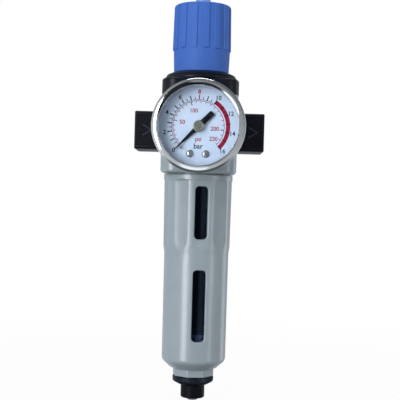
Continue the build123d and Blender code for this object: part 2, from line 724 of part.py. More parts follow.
def lock_button():
    """The button in the middle of the knob's top."""
    button = disc(BUTTON_R, BUTTON_FOOT, BUTTON_TOP)
    return fillet(circle_edges(button, BUTTON_TOP, BUTTON_R), BUTTON_EDGE)


# ---------------------------------------------------------------- valve
def valve_seat():
    """The flanged seat insert with its raised sealing nose."""
    seat = disc(VALVE_BORE_R - FIT, SEAT_FOOT, VALVE_STEP)
    seat += disc(THROAT_R - FIT, VALVE_STEP, VALVE_STEP + SEAT_SPIGOT_H)
    seat += disc(SEAT_BORE_R + SEAT_NOSE_WALL, NOSE_FOOT, SEAT_FOOT)
    return seat - disc(SEAT_BORE_R, NOSE_FOOT, VALVE_STEP + SEAT_SPIGOT_H)


def valve_disc():
    """The rubber disc bonded on the poppet."""
    return ring(DISC_R, STEM_R + FIT, POPPET_TOP, DISC_TOP)


def valve_poppet():
    """The poppet with its long upper stem and its lower guide."""
    poppet = disc(POPPET_R, POPPET_FOOT, POPPET_TOP)
    poppet += disc(STEM_R, POPPET_TOP, STEM_TOP)
    poppet += disc(STEM_TIP_R, STEM_TOP - STEM_TIP_H, STEM_TOP)
    return poppet + disc(GUIDE_R, POPPET_FOOT - GUIDE_L, POPPET_FOOT)


def valve_spring():
    """The light spring that closes the valve."""
    return helix_spring(VALVE_SPRING_R, VALVE_WIRE, CAGE_FLOOR_TOP, POPPET_FOOT, VALVE_COILS)


def valve_cage():
    """The cup below the valve: it guides the poppet and lets filtered air in through its floor."""
    outer = VALVE_BORE_R - FIT
    cage = disc(outer, CAGE_FOOT, SEAT_FOOT)
    cage -= disc(outer - CAGE_WALL, CAGE_FLOOR_TOP, SEAT_FOOT)
    cage -= disc(GUIDE_R + FIT, CAGE_THREAD_TOP, CAGE_FLOOR_TOP)
    cage -= disc(ROD_R + FIT, CAGE_FOOT, CAGE_THREAD_TOP)
    hole = Pos(FLOW_HOLE_AT, 0, 0) * disc(FLOW_HOLE_R, CAGE_FOOT, CAGE_FLOOR_TOP)
    return cage - around(hole, FLOW_HOLES)


# ---------------------------------------------------------------- filter
def tie_rod():
    """The long screw that clamps vane ring, filter and baffle to the valve cage."""
    rod = disc(ROD_R, HUB_FOOT, CAGE_THREAD_TOP)
    head = hexagon(2 * ROD_HEAD_R, HUB_FOOT - ROD_HEAD_H, HUB_FOOT)
    return rod + head


def vane_ring():
    """The deflector whose slanted vanes make the incoming air swirl."""
    hub = ring(VANE_HUB_R, VANE_BORE_R, FILTER_TOP, SLEEVE_FOOT)
    length = VANE_TIP_R - VANE_HUB_R + TOOL_MARGIN
    blade = Rot(VANE_TILT, 0, 0) * Box(length, VANE_T, VANE_H)
    middle = (FILTER_TOP + SLEEVE_FOOT) / 2
    room = ring(VANE_TIP_R, VANE_HUB_R - TOOL_MARGIN / 2, FILTER_TOP, SLEEVE_FOOT)
    blade = (Pos(VANE_TIP_R - length / 2, 0, middle) * blade) & room
    return hub + around(blade, VANE_COUNT)


def filter_element():
    """The sintered filter tube."""
    return ring(FILTER_R, FILTER_BORE_R, FILTER_FOOT, FILTER_TOP)


def baffle():
    """The umbrella under the filter that keeps the sump calm."""
    return turned(
        (ROD_R + FIT, FILTER_FOOT),
        (FILTER_R + 2 * OPEN_GAP, FILTER_FOOT),
        (BAFFLE_R, FILTER_FOOT - BAFFLE_DROP),
        (BAFFLE_R - BAFFLE_RIM, FILTER_FOOT - BAFFLE_DROP),
        (FILTER_R - OPEN_GAP, HUB_FOOT),
        (ROD_R + FIT, HUB_FOOT),
    )


# ---------------------------------------------------------------- bowl and drain
def bowl():
    """The clear bowl, with its sealing flange above and the drain boss below."""
    shell = disc(BOWL_R, BOWL_END, BOWL_TOP)
    shell = fillet(circle_edges(shell, BOWL_END, BOWL_R), BOWL_CORNER)
    shell += disc(BOWL_FLANGE_R, BOWL_FLANGE_FOOT, BOWL_FLANGE_TOP)
    shell += disc(BOSS_R, BOSS_END, BOWL_END + BOWL_FLOOR_T / 2)
    hollow = disc(BOWL_BORE_R, BOWL_FLOOR, BOWL_TOP)
    shell -= fillet(circle_edges(hollow, BOWL_FLOOR, BOWL_BORE_R), BOWL_INNER_CORNER)
    shell -= disc(DRAIN_HOLE_R, BOWL_END, BOWL_FLOOR)
    shell -= disc(DRAIN_BORE_R, BOSS_END, BOWL_END)
    groove_floor = BOSS_R - CLIP_RING_OUT + OPEN_GAP
    return shell - ring(BOSS_R + TOOL_MARGIN, groove_floor, CLIP_FOOT - FIT, CLIP_TOP + FIT)


def bowl_o_ring():
    """The seal between bowl flange and body."""
    return o_ring((BOWL_R + THREAD_R) / 2, RING_SECTION, RING_CENTRE_Z)


def sump_screen():
    """The perforated ring standing on the bowl's floor round the drain."""
    screen = ring(SCREEN_R, SCREEN_R - SCREEN_WALL, SCREEN_FOOT, BOWL_FLOOR + SCREEN_H)
    screen = chamfer(circle_edges(screen, SCREEN_FOOT, SCREEN_R), BOWL_INNER_CORNER)
    level = BOWL_FLOOR + SCREEN_H - SCREEN_HOLE_DROP
    hole = Pos(0, 0, level) * Rot(90, 0, 0) * Cylinder(SCREEN_HOLE_R, 2 * SCREEN_WALL)
    return screen - around(Pos(0, SCREEN_WALL / 2 - SCREEN_R, 0) * hole, SCREEN_HOLES)


def drain_collar():
    """The knurled collar that works the drain."""
    collar = turned(
        (0, COLLAR_TOP),
        (COLLAR_KNURL_R, COLLAR_TOP),
        (COLLAR_KNURL_R, COLLAR_TOP - COLLAR_KNURL_H),
        (COLLAR_ROOT_R, COLLAR_END),
        (0, COLLAR_END),
    )
    collar = fillet(circle_edges(collar, COLLAR_TOP - COLLAR_KNURL_H, COLLAR_KNURL_R), COLLAR_EDGE)
    collar -= disc(BOSS_R + CLIP_RING_OUT + 2 * OPEN_GAP, CLIP_FOOT - OPEN_GAP, COLLAR_TOP)
    collar -= disc(BOSS_R + FIT, BOSS_END - OPEN_GAP, CLIP_FOOT - OPEN_GAP)
    collar -= disc(SPIGOT_R + FIT, COLLAR_END, BOSS_END - OPEN_GAP)
    cutter = Rot(0, 0, 45) * Box(2 * KNURL_DEPTH, 2 * KNURL_DEPTH, 2 * COLLAR_KNURL_H)
    groove = Pos(COLLAR_KNURL_R + KNURL_DEPTH, 0, COLLAR_TOP - COLLAR_KNURL_H) * cutter
    return collar - around(groove, KNURL_COUNT)


def drain_clip():
    """The ring in the boss's groove that holds the collar up."""
    inner = BOSS_R - CLIP_RING_OUT + OPEN_GAP + FIT
    return ring(BOSS_R + CLIP_RING_OUT, inner, CLIP_FOOT, CLIP_TOP)


def drain_stem():
    """The hollow stem with its spigot: it drops as the collar turns and opens the drain."""
    stem = disc(DRAIN_BORE_R - 2 * FIT, SPIGOT_TOP, STEM_HEAD)
    spigot = disc(SPIGOT_R, SPIGOT_END, SPIGOT_TOP)
    stem += fillet(circle_edges(spigot, SPIGOT_END, SPIGOT_R), SPIGOT_EDGE)
    stem -= disc(DRAIN_HOLE_R, SPIGOT_END, STEM_HEAD)
    stem -= disc(TIP_R + FIT, SPIGOT_END, SPIGOT_END + TIP_DEPTH)
    half = DRAIN_RING_SECTION / 2
    floor = DRAIN_BORE_R - FIT - DRAIN_RING_SECTION - FIT
    return stem - ring(DRAIN_BORE_R, floor, DRAIN_RING_AT - half - FIT, DRAIN_RING_AT + half + FIT)


def drain_seal():
    """The washer on top of the stem."""
    return ring(DRAIN_BORE_R - 4 * FIT, DRAIN_HOLE_R + FIT, STEM_HEAD, DRAIN_SEAL_TOP)


def drain_o_ring():
    """The ring that seals the stem in the boss."""
    return o_ring(DRAIN_BORE_R - FIT - DRAIN_RING_SECTION / 2, DRAIN_RING_SECTION, DRAIN_RING_AT)


def drain_tip():
    """The small outlet nub at the end of the spigot."""
    tip = disc(TIP_R, TIP_END, SPIGOT_END + TIP_DEPTH)
    tip = chamfer(circle_edges(tip, TIP_END, TIP_R), TIP_PROUD / 3)
    return tip - disc(DRAIN_HOLE_R, TIP_END, SPIGOT_END + TIP_DEPTH)


# ---------------------------------------------------------------- bowl guard
def guard_outline():
    """The turned guard, before its flutes, windows and flats."""
    shell = turned(
        (0, GUARD_TOP),
        (GUARD_NECK_R, GUARD_TOP),
        (GUARD_NECK_R, GUARD_SHOULDER),
        (GUARD_BAND_R, GUARD_SHOULDER),
        (GUARD_BAND_R, GUARD_SHOULDER - GUARD_BAND_H),
        (GRIP_R, GUARD_SHOULDER - 2 * GUARD_BAND_H),
        (GRIP_END_R, GRIP_FOOT),
        (TUBE_R, TUBE_TOP),
        (TUBE_FOOT_R, TUBE_FOOT),
        (SHOULDER_R, OCTAGON_TOP),
        (0, OCTAGON_TOP),
    )
    shell = fillet(circle_edges(shell, TUBE_FOOT, TUBE_FOOT_R), TUBE_FOOT_EDGE)
    return fillet(circle_edges(shell, GUARD_SHOULDER, GUARD_BAND_R), GUARD_BAND_EDGE)


def flute():
    """One shallow upright flute, as the cutter that makes it, with run-out ends."""
    cutter = disc(FLUTE_CUTTER_R, FLUTE_FOOT, FLUTE_TOP)
    cutter = fillet(cutter.edges().filter_by(GeomType.CIRCLE), FLUTE_END_R)
    return Pos(0, -(GRIP_R + FLUTE_CUTTER_R - FLUTE_DEPTH), 0) * cutter


def window(span):
    """A slot with rounded corners through the front wall of the guard."""
    low, high = span
    slot = RectangleRounded(WINDOW_WIDTH, high - low, WINDOW_CORNER)
    cutter = extrude(Plane.XZ * slot, 2 * GUARD_BAND_R)
    return Pos(0, 0, (low + high) / 2) * cutter


def bowl_guard():
    """The metal guard that screws into the body and carries the bowl."""
    guard = guard_outline()
    guard += prism(GUARD_OCTAGON_R, 8, GUARD_END, OCTAGON_TOP, 22.5)
    guard -= around(flute(), FLUTE_COUNT)
    floor = BOWL_END - GUARD_FLOOR_GAP
    hollow = disc(GUARD_BORE_R, floor, GUARD_TOP)
    guard -= fillet(circle_edges(hollow, floor, GUARD_BORE_R), BOWL_CORNER - GUARD_FLOOR_GAP)
    guard -= disc(BOSS_R + OPEN_GAP, GUARD_END, floor)
    guard -= window(UPPER_WINDOW)
    guard -= window(LOWER_WINDOW)
    return Rot(0, 0, GUARD_TURNED) * guard


# ---------------------------------------------------------------- side plates and plug
def side_plate(side):
    """One connecting plate with its pipe thread and two counterbored screw holes."""
    outline = RectangleRounded(PLATE_HEIGHT, PLATE_DEPTH, PLATE_CORNER)
    plate = Pos(0, 0, BODY_FACE) * extrude(outline, PLATE_LENGTH)
    plate = chamfer(plate.edges().group_by(Axis.Z)[-1], PLATE_EDGE)
    plate -= disc(PORT_R, PLATE_FACE - PORT_DEPTH, PLATE_FACE)
    plate -= disc(FLOW_R, BODY_FACE, PLATE_FACE - PORT_DEPTH)
    head_foot = PLATE_FACE - PLATE_HEAD_H - OPEN_GAP
    for place in (-PLATE_SCREW_AT, PLATE_SCREW_AT):
        plate -= Pos(0, place, 0) * disc(PLATE_SCREW_R + FIT, BODY_FACE, PLATE_FACE)
        plate -= Pos(0, place, 0) * disc(PLATE_HEAD_R + FIT, head_foot, PLATE_FACE)
    return sideways(plate, side)


def plate_screws():
    """The four socket screws that hold the side plates."""
    head_foot = PLATE_FACE - PLATE_HEAD_H - OPEN_GAP
    screw = disc(PLATE_HEAD_R, head_foot, head_foot + PLATE_HEAD_H)
    screw += disc(PLATE_SCREW_R, BODY_FACE - PLATE_SCREW_GRIP, head_foot)
    screw -= hexagon(SCREW_SOCKET * PLATE_SCREW_R, head_foot + PLATE_HEAD_H / 2, head_foot + PLATE_HEAD_H)
    places = (-PLATE_SCREW_AT, PLATE_SCREW_AT)
    return [sideways(Pos(0, place, 0) * screw, side) for side in (-1, 1) for place in places]


def port_seals():
    """The rings between body and side plates."""
    height = BODY_FACE - PORT_SEAL_SECTION / 2 - SEAT_GAP
    return [sideways(o_ring(PORT_SEAL_R, PORT_SEAL_SECTION, height), side) for side in (-1, 1)]


def rear_plug():
    """The screw plug in the rear gauge tapping."""
    flange_foot = BODY_FACE + PLUG_SEAL_T
    plug = disc(TAP_R - FIT, tap_end(), flange_foot)
    head = disc(PLUG_FLANGE_R, flange_foot, flange_foot + PLUG_FLANGE_T)
    top = flange_foot + PLUG_FLANGE_T
    plug += chamfer(circle_edges(head, top, PLUG_FLANGE_R), PLUG_EDGE)
    plug -= hexagon(PLUG_HEX, top - PLUG_HEX_DEPTH, top)
    return Rot(0, 0, 180) * facing(plug)


def rear_plug_seal():
    """The sealing washer under the plug."""
    washer = ring(PLUG_FLANGE_R - OPEN_GAP, TAP_R, BODY_FACE, BODY_FACE + PLUG_SEAL_T)
    return Rot(0, 0, 180) * facing(washer)


# ---------------------------------------------------------------- gauge case and face
def gauge_seal():
    """The sealing washer under the gauge shank."""
    return facing(ring(GAUGE_SEAL_R, TAP_R, BODY_FACE, BODY_FACE + GAUGE_SEAL_T))


def bourdon_section(shrink=0.0):
    """The flat oval section of the Bourdon tube, standing off the gauge axis."""
    oval = SlotOverall(TUBE_WIDE - 2 * shrink, TUBE_THIN - 2 * shrink, rotation=90)
    return Plane.XZ * Pos(TUBE_MEAN_R, TUBE_LEVEL) * oval


def tube_sweep(section, start, end):
    """A section revolved about the gauge axis from one angle to another."""
    return Rot(0, 0, start) * revolve(section, axis=Axis.Z, revolution_arc=end - start)


def gauge_socket():
    """The brass socket: thread, six-sided shank, and the block that carries tube and movement."""
    shoulder = BODY_FACE + GAUGE_SEAL_T
    socket = disc(TAP_R - FIT, tap_end(), shoulder)
    socket += hexagon(SHANK_FLATS, shoulder, BLOCK_BACK)
    socket += Pos(0, 0, TUBE_LEVEL) * Box(BLOCK_W, BLOCK_H, BLOCK_T)
    foot = Box(BLOCK_FOOT_W, BLOCK_FOOT_DROP, BLOCK_T)
    socket += Pos(0, -BLOCK_FOOT_DROP / 2, TUBE_LEVEL) * foot
    socket -= disc(SOCKET_BORE_R, BODY_FACE - TAP_DEPTH, TUBE_LEVEL)
    socket -= tube_sweep(bourdon_section(), TUBE_ROOT_ANGLE - SOCKET_SLOT_ANGLE, TUBE_ROOT_ANGLE)
    for x in (-CASE_SCREW_AT, CASE_SCREW_AT):
        socket -= Pos(x, 0, 0) * disc(CASE_SCREW_R + FIT, BLOCK_BACK, BLOCK_BACK + CASE_SCREW_L)
    return facing(socket)


def case_screws():
    """Two small screws through the back of the case into the block."""
    screw = disc(CASE_SCREW_HEAD_R, CASE_BACK - CASE_SCREW_HEAD_H, CASE_BACK)
    screw += disc(CASE_SCREW_R, CASE_BACK, BLOCK_BACK + CASE_SCREW_L - OPEN_GAP)
    return [facing(Pos(x, 0, 0) * screw) for x in (-CASE_SCREW_AT, CASE_SCREW_AT)]


def gauge_case():
    """The steel cup, open at the front with a turned-out lip."""
    case = disc(CASE_R, CASE_BACK, CASE_FRONT)
    case = fillet(circle_edges(case, CASE_BACK, CASE_R), 2 * CASE_WALL)
    case += disc(CASE_LIP_R, CASE_FRONT - CASE_LIP_T, CASE_FRONT)
    hollow = disc(CASE_R - CASE_WALL, BLOCK_BACK, CASE_FRONT)
    case -= fillet(circle_edges(hollow, BLOCK_BACK, CASE_R - CASE_WALL), CASE_WALL)
    case -= disc(CASE_HOLE_R, CASE_BACK, BLOCK_BACK)
    for x in (-CASE_SCREW_AT, CASE_SCREW_AT):
        case -= Pos(x, 0, 0) * disc(CASE_SCREW_R + FIT, CASE_BACK, BLOCK_BACK)
    return facing(case)


def gauge_bezel():
    """The bright ring rolled over the case lip, rounded in front."""
    lip_back = CASE_FRONT - CASE_LIP_T - FIT
    step = LENS_R + 2 * FIT
    crest = (BEZEL_R + BEZEL_OPENING_R) / 2, BEZEL_FRONT
    widest = BEZEL_R, BEZEL_WIDEST
    lip = BEZEL_OPENING_R, BEZEL_FRONT - 2 * BEZEL_LIP
    back = CASE_LIP_R, BEZEL_BACK
    outline = Polyline(
        lip,
        (BEZEL_OPENING_R, LENS_FRONT + FIT),
        (step, LENS_FRONT + FIT),
        (step, CASE_FRONT + FIT),
        (CASE_LIP_R + FIT, CASE_FRONT + FIT),
        (CASE_LIP_R + FIT, lip_back),
        (CASE_R + FIT, lip_back),
        (CASE_R + FIT, BEZEL_BACK),
        back,
    )
    outline += SagittaArc(back, widest, -(BEZEL_R - CASE_LIP_R) / 6)
    roll = BEZEL_R - crest[0], BEZEL_FRONT - widest[1]
    outline += EllipticalCenterArc((crest[0], widest[1]), *roll, start_angle=0, arc_size=90)
    inward = crest[0] - BEZEL_OPENING_R, BEZEL_FRONT - lip[1]
    outline += EllipticalCenterArc((crest[0], lip[1]), *inward, start_angle=90, arc_size=90)
    return facing(revolve(make_face(Plane.XZ * outline), axis=Axis.Z))


def gauge_lens():
    """The clear window."""
    return facing(disc(LENS_R, LENS_BACK, LENS_FRONT))


def lens_gasket():
    """The rubber ring between window and case."""
    return facing(ring(LENS_R, LENS_R - GASKET_W, CASE_FRONT, LENS_BACK))


def gauge_dial():
    """The dial plate."""
    dial = disc(DIAL_R, DIAL_BACK, DIAL_FRONT) - disc(DIAL_HOLE_R, DIAL_BACK, DIAL_FRONT)
    for place in dial_screw_places():
        dial -= place * disc(DIAL_SCREW_R + FIT, DIAL_BACK, DIAL_FRONT)
    dial -= stop_pin_place() * disc(STOP_PIN_R, DIAL_BACK, DIAL_FRONT)
    return facing(dial)


def dial_screw_places():
    """The two dial screws' axes."""
    return [Pos(side * DIAL_SCREW_AT[0], DIAL_SCREW_AT[1], 0) for side in (-1, 1)]


def dial_posts():
    """The posts that hold the dial off the movement."""
    post = disc(DIAL_POST_R, POSTS_FOOT, DIAL_BACK)
    post -= disc(DIAL_SCREW_R + FIT, POSTS_FOOT, DIAL_BACK)
    return [facing(place * post) for place in dial_screw_places()]


def dial_screws():
    """Two pan-head screws with a slot."""
    head_top = DIAL_FRONT + DIAL_SCREW_HEAD_H
    screw = disc(DIAL_SCREW_HEAD_R, DIAL_FRONT, head_top)
    screw = fillet(circle_edges(screw, head_top, DIAL_SCREW_HEAD_R), DIAL_SCREW_EDGE)
    screw += disc(DIAL_SCREW_R, POSTS_FOOT + OPEN_GAP, DIAL_FRONT)
    return [facing(place * screw) for place in dial_screw_places()]


def heading(angle):
    """Turns a piece drawn pointing up to an angle clockwise from the top of the dial."""
    return Rot(0, 0, -angle)


def stop_pin_place():
    """Where the stop pin stands: just beyond the pointer at the start of the scale."""
    along = STOP_PIN_AT / POINTER_TIP_L
    half_width = (POINTER_WIDTH + (POINTER_TIP_WIDTH - POINTER_WIDTH) * along) / 2
    back = math.degrees(math.asin((STOP_PIN_R + half_width + 2 * SEAT_GAP) / STOP_PIN_AT))
    return heading(SCALE_START - back) * Pos(0, STOP_PIN_AT, 0)


def stop_pin():
    """The pin that the pointer rests against at zero."""
    return facing(stop_pin_place() * disc(STOP_PIN_R, DIAL_BACK, DIAL_FRONT + STOP_PIN_H))


def pointer():
    """The needle with its broad tail, drawn upright and laid at the start of the scale."""
    needle = Polygon(
        (POINTER_WIDTH / 2, 0),
        (POINTER_TIP_WIDTH / 2, POINTER_TIP_L - POINTER_POINT),
        (0, POINTER_TIP_L),
        (-POINTER_TIP_WIDTH / 2, POINTER_TIP_L - POINTER_POINT),
        (-POINTER_WIDTH / 2, 0),
        align=None,
    )
    corner = POINTER_TAIL_WIDTH / 3
    tail = Polygon(
        (POINTER_TAIL_WIDTH / 2, 0),
        (-POINTER_TAIL_WIDTH / 2, 0),
        (-POINTER_TAIL_WIDTH / 2, corner - POINTER_TAIL_L),
        (corner - POINTER_TAIL_WIDTH / 2, -POINTER_TAIL_L),
        (POINTER_TAIL_WIDTH / 2 - corner, -POINTER_TAIL_L),
        (POINTER_TAIL_WIDTH / 2, corner - POINTER_TAIL_L),
        align=None,
    )
    blade = needle + tail + Circle(HUB_R - 2 * OPEN_GAP) - Circle(ARBOR_R + FIT)
    return facing(heading(SCALE_START) * Pos(0, 0, POINTER_BACK) * extrude(blade, POINTER_T))


def pointer_hub():
    """The bright cap on the pointer, with a dimple in its middle."""
    hub = disc(HUB_R, POINTER_FRONT, HUB_FRONT)
    hub = fillet(circle_edges(hub, HUB_FRONT, HUB_R), HUB_EDGE)
    hub -= disc(ARBOR_R + FIT, POINTER_FRONT, POINTER_FRONT + HUB_H / 2)
    return facing(hub - Pos(0, 0, HUB_FRONT) * Sphere(HUB_DIMPLE_R))


# ---------------------------------------------------------------- gauge movement
def tooth(pitch_radius):
    """One gear tooth as a flat outline that points up, from below the root to the tip."""
    half = math.pi * MODULE * TOOTH_SHARE / 2
    root = pitch_radius - DEDENDUM * MODULE
    tip = pitch_radius + ADDENDUM * MODULE
    return Polygon(
        (1.45 * half, root - MODULE / 2),
        (1.3 * half, root),
        (half, pitch_radius),
        (0.45 * half, tip),
        (-0.45 * half, tip),
        (-half, pitch_radius),
        (-1.3 * half, root),
        (-1.45 * half, root - MODULE / 2),
        align=None,
    )


def sector_arbor():
    """The place of the sector's axis, below the pointer's."""
    return 0.0, -GEAR_CENTRES


def tip_pin_place():
    """The place of the tube tip's pin at rest, in the gauge's plane."""
    shift = math.radians(TUBE_TIP_ANGLE) - TIP_BLOCK / TUBE_MEAN_R
    return TUBE_MEAN_R * math.cos(shift), TUBE_MEAN_R * math.sin(shift)


def tail_angle_at_rest():
    """The direction of the sector's tail at zero, in degrees from the right, upwards positive.

    The link stands square to the tail at the middle of the swing.
    """
    pin_x, pin_y = tip_pin_place()
    arbor_x, arbor_y = sector_arbor()
    reach = math.hypot(pin_x - arbor_x, pin_y - arbor_y)
    bearing = math.degrees(math.atan2(pin_y - arbor_y, pin_x - arbor_x))
    return bearing - math.degrees(math.acos(TAIL_R / reach)) - SECTOR_SWING / 2


def tail_pin_place():
    """The place of the pin in the sector's tail at rest."""
    angle = math.radians(tail_angle_at_rest())
    arbor_x, arbor_y = sector_arbor()
    return arbor_x + TAIL_R * math.cos(angle), arbor_y + TAIL_R * math.sin(angle)


def pinion_arbor():
    """The thin shaft with its pinion, carrying the pointer."""
    foot = BLOCK_FRONT + FIT
    shaft = disc(ARBOR_R, foot, POINTER_FRONT + HUB_H / 2 - FIT)
    face = Circle(PINION_R - DEDENDUM * MODULE)
    for step in range(PINION_TEETH):
        face += Rot(0, 0, 360 / PINION_TEETH * step) * tooth(PINION_R)
    middle = BLOCK_FRONT + SECTOR_LAYER + GEAR_T / 2
    return facing(shaft + Pos(0, 0, middle - PINION_T / 2) * extrude(face, PINION_T))


def sector_gear():
    """The toothed sector with its arbor and tail, at its zero position."""
    lean = SECTOR_SWING / 2
    inner = SECTOR_R - DEDENDUM * MODULE
    pitch_angle = 360 / SECTOR_TEETH
    steps = math.ceil(SECTOR_SWING / 2 / pitch_angle) + 2
    half_span = math.radians((steps + 0.5) * pitch_angle)
    edge_x, edge_y = inner * math.sin(half_span), inner * math.cos(half_span)
    outline = Line((0, 0), (edge_x, edge_y))
    outline += ThreePointArc((edge_x, edge_y), (0, inner), (-edge_x, edge_y))
    outline += Line((-edge_x, edge_y), (0, 0))
    blade = make_face(outline)
    blade += Circle(SECTOR_HUB_R)
    # A tooth space of the pinion stands below its axis, so at rest a sector tooth points straight up.
    first = round(lean / pitch_angle) * pitch_angle
    for step in range(-steps, steps + 1):
        blade += Rot(0, 0, pitch_angle * step) * tooth(SECTOR_R)
    blade = Rot(0, 0, -first) * blade
    tail_turn = tail_angle_at_rest()
    half_arm = LINK_EYE_R * TAIL_WIDTH
    arm = Pos(TAIL_R / 2, 0) * Rectangle(TAIL_R, 2 * half_arm)
    arm = Rot(0, 0, tail_turn) * (arm + Pos(TAIL_R, 0) * Circle(half_arm))
    hole = Rot(0, 0, tail_turn) * Pos(TAIL_R, 0) * Circle(LINK_PIN_R + FIT)
    x, y = sector_arbor()
    plate = Pos(x, y, BLOCK_FRONT + SECTOR_LAYER) * extrude(blade + arm - hole, GEAR_T)
    shaft = Pos(x, y, 0) * disc(ARBOR_R, BLOCK_FRONT + FIT, POSTS_FOOT - FIT)
    return facing(plate + shaft)


def link():
    """The link from the tube tip to the sector's tail, with the tail's pin on it."""
    x0, y0 = tail_pin_place()
    x1, y1 = tip_pin_place()
    length = math.hypot(x1 - x0, y1 - y0)
    turn = math.degrees(math.atan2(y1 - y0, x1 - x0))
    bar = Pos(length / 2, 0) * Rectangle(length, LINK_EYE_R)
    bar += Circle(LINK_EYE_R * TAIL_WIDTH) + Pos(length, 0) * Circle(LINK_EYE_R)
    bar -= Pos(length, 0) * Circle(TIP_PIN_R + LINK_SLACK)
    back = BLOCK_FRONT + LINK_LAYER
    solid = Pos(0, 0, back) * extrude(bar, LINK_T)
    solid += disc(LINK_PIN_R, back + LINK_T, BLOCK_FRONT + SECTOR_LAYER + GEAR_T)
    return facing(Pos(x0, y0, 0) * Rot(0, 0, turn) * solid)


def bourdon_tube():
    """The C-shaped flat tube."""
    wall = bourdon_section() - bourdon_section(TUBE_WALL)
    return facing(tube_sweep(wall, TUBE_TIP_ANGLE, TUBE_ROOT_ANGLE))


def tube_tip():
    """The plug on the free end of the tube, with the link's pin."""
    x, y = tip_pin_place()
    turn = math.degrees(math.atan2(y, x))
    block = Rot(0, 0, turn) * Pos(TUBE_MEAN_R, 0, TUBE_LEVEL) * Box(TIP_BLOCK, TIP_BLOCK, TUBE_WIDE)
    pin = Pos(x, y, 0) * disc(TIP_PIN_R, TUBE_LEVEL, BLOCK_FRONT + LINK_LAYER + LINK_T + OPEN_GAP)
    return facing(block + pin)


def movement_outline():
    """The outline of both movement plates: a web round the pillars and the dial posts."""
    post_ear = DIAL_SCREW_AT[0] + POST_EAR_SHIFT, DIAL_SCREW_AT[1] - POST_EAR_SHIFT
    corners = [*PILLARS, post_ear]
    edges = []
    for x, y in corners:
        edges += (Pos(x, y) * Circle(PILLAR_EAR)).edges()
    return make_hull(edges)


def movement_plate(back):
    """One plate of the movement with the bearings of both arbors."""
    face = movement_outline() - Circle(ARBOR_R + FIT)
    face -= Pos(*sector_arbor()) * Circle(ARBOR_R + FIT)
    return facing(Pos(0, 0, back) * extrude(face, MOVEMENT_PLATE_T))


def movement_pillars():
    """The pillars between the plates."""
    pillar = disc(PILLAR_R, BLOCK_FRONT + MOVEMENT_PLATE_T, MOVEMENT_FRONT)
    return [facing(Pos(x, y, 0) * pillar) for x, y in PILLARS]


def hairspring():
    """The flat spiral that takes up the play of the gears."""
    arcs = []
    radius = ARBOR_R + 2 * SPIRAL_WIDTH
    centre = 0.0
    for half_turn in range(2 * SPIRAL_TURNS):
        upper = half_turn % 2 == 0
        arcs.append(CenterArc((centre, 0), radius, 0 if upper else 180, 180))
        centre += SPIRAL_STEP / 4 * (1 if not upper else -1)
        radius += SPIRAL_STEP / 4
    ribbon = trace(arcs, line_width=SPIRAL_WIDTH)
    return facing(Pos(0, 0, BLOCK_FRONT + SPIRAL_LAYER) * extrude(ribbon, SPIRAL_HEIGHT))


# ---------------------------------------------------------------- all nodes
def all_pieces():
    """Every node's name and shape, from the top of the object down, then the gauge."""
    return {
        "lock_button": lock_button(),
        "adjusting_knob": adjusting_knob(),
        "spindle": spindle(),
        "spindle_clip": spindle_clip(),
        "spring_nut": spring_nut(),
        "main_spring": main_spring(),
        "panel_nut": panel_nut(),
        "bonnet": bonnet(),
        "bonnet_screws": bonnet_screws(),
        "diaphragm": diaphragm(),
        "diaphragm_plate": diaphragm_plate(),
        "relief_seat": relief_seat(),
        "body_casting": body_casting(),
        "valve_seat": valve_seat(),
        "valve_disc": valve_disc(),
        "valve_poppet": valve_poppet(),
        "valve_spring": valve_spring(),
        "valve_cage": valve_cage(),
        "tie_rod": tie_rod(),
        "vane_ring": vane_ring(),
        "filter_element": filter_element(),
        "baffle": baffle(),
        "bowl": bowl(),
        "bowl_o_ring": bowl_o_ring(),
        "bowl_guard": bowl_guard(),
        "sump_screen": sump_screen(),
        "drain_collar": drain_collar(),
        "drain_clip": drain_clip(),
        "drain_stem": drain_stem(),
        "drain_seal": drain_seal(),
        "drain_o_ring": drain_o_ring(),
        "drain_tip": drain_tip(),
        "inlet_plate": side_plate(-1),
        "outlet_plate": side_plate(1),
        "plate_screws": plate_screws(),
        "port_seals": port_seals(),
        "rear_plug": rear_plug(),
        "rear_plug_seal": rear_plug_seal(),
        "gauge_seal": gauge_seal(),
        "gauge_socket": gauge_socket(),
        "gauge_case": gauge_case(),
        "case_screws": case_screws(),
        "gauge_bezel": gauge_bezel(),
        "gauge_lens": gauge_lens(),
        "lens_gasket": lens_gasket(),
        "gauge_dial": gauge_dial(),
        "dial_posts": dial_posts(),
        "dial_screws": dial_screws(),
        "stop_pin": stop_pin(),
        "movement_back_plate": movement_plate(BLOCK_FRONT),
        "movement_front_plate": movement_plate(MOVEMENT_FRONT),
        "movement_pillars": movement_pillars(),
        "sector_gear": sector_gear(),
        "pinion_arbor": pinion_arbor(),
        "pointer": pointer(),
        "pointer_hub": pointer_hub(),
        "hairspring": hairspring(),
        "link": link(),
        "bourdon_tube": bourdon_tube(),
        "tube_tip": tube_tip(),
    }


def write_pieces():
    """Writes one STEP file per node."""
    os.makedirs("parts", exist_ok=True)
    for name, piece in all_pieces().items():
        solids = piece if isinstance(piece, list) else piece.solids()
        solids = [solid for item in solids for solid in item.solids()]
        shape = Compound(children=solids) if len(solids) > 1 else solids[0]
        export_step(shape, f"parts/{name}.step")


write_pieces()
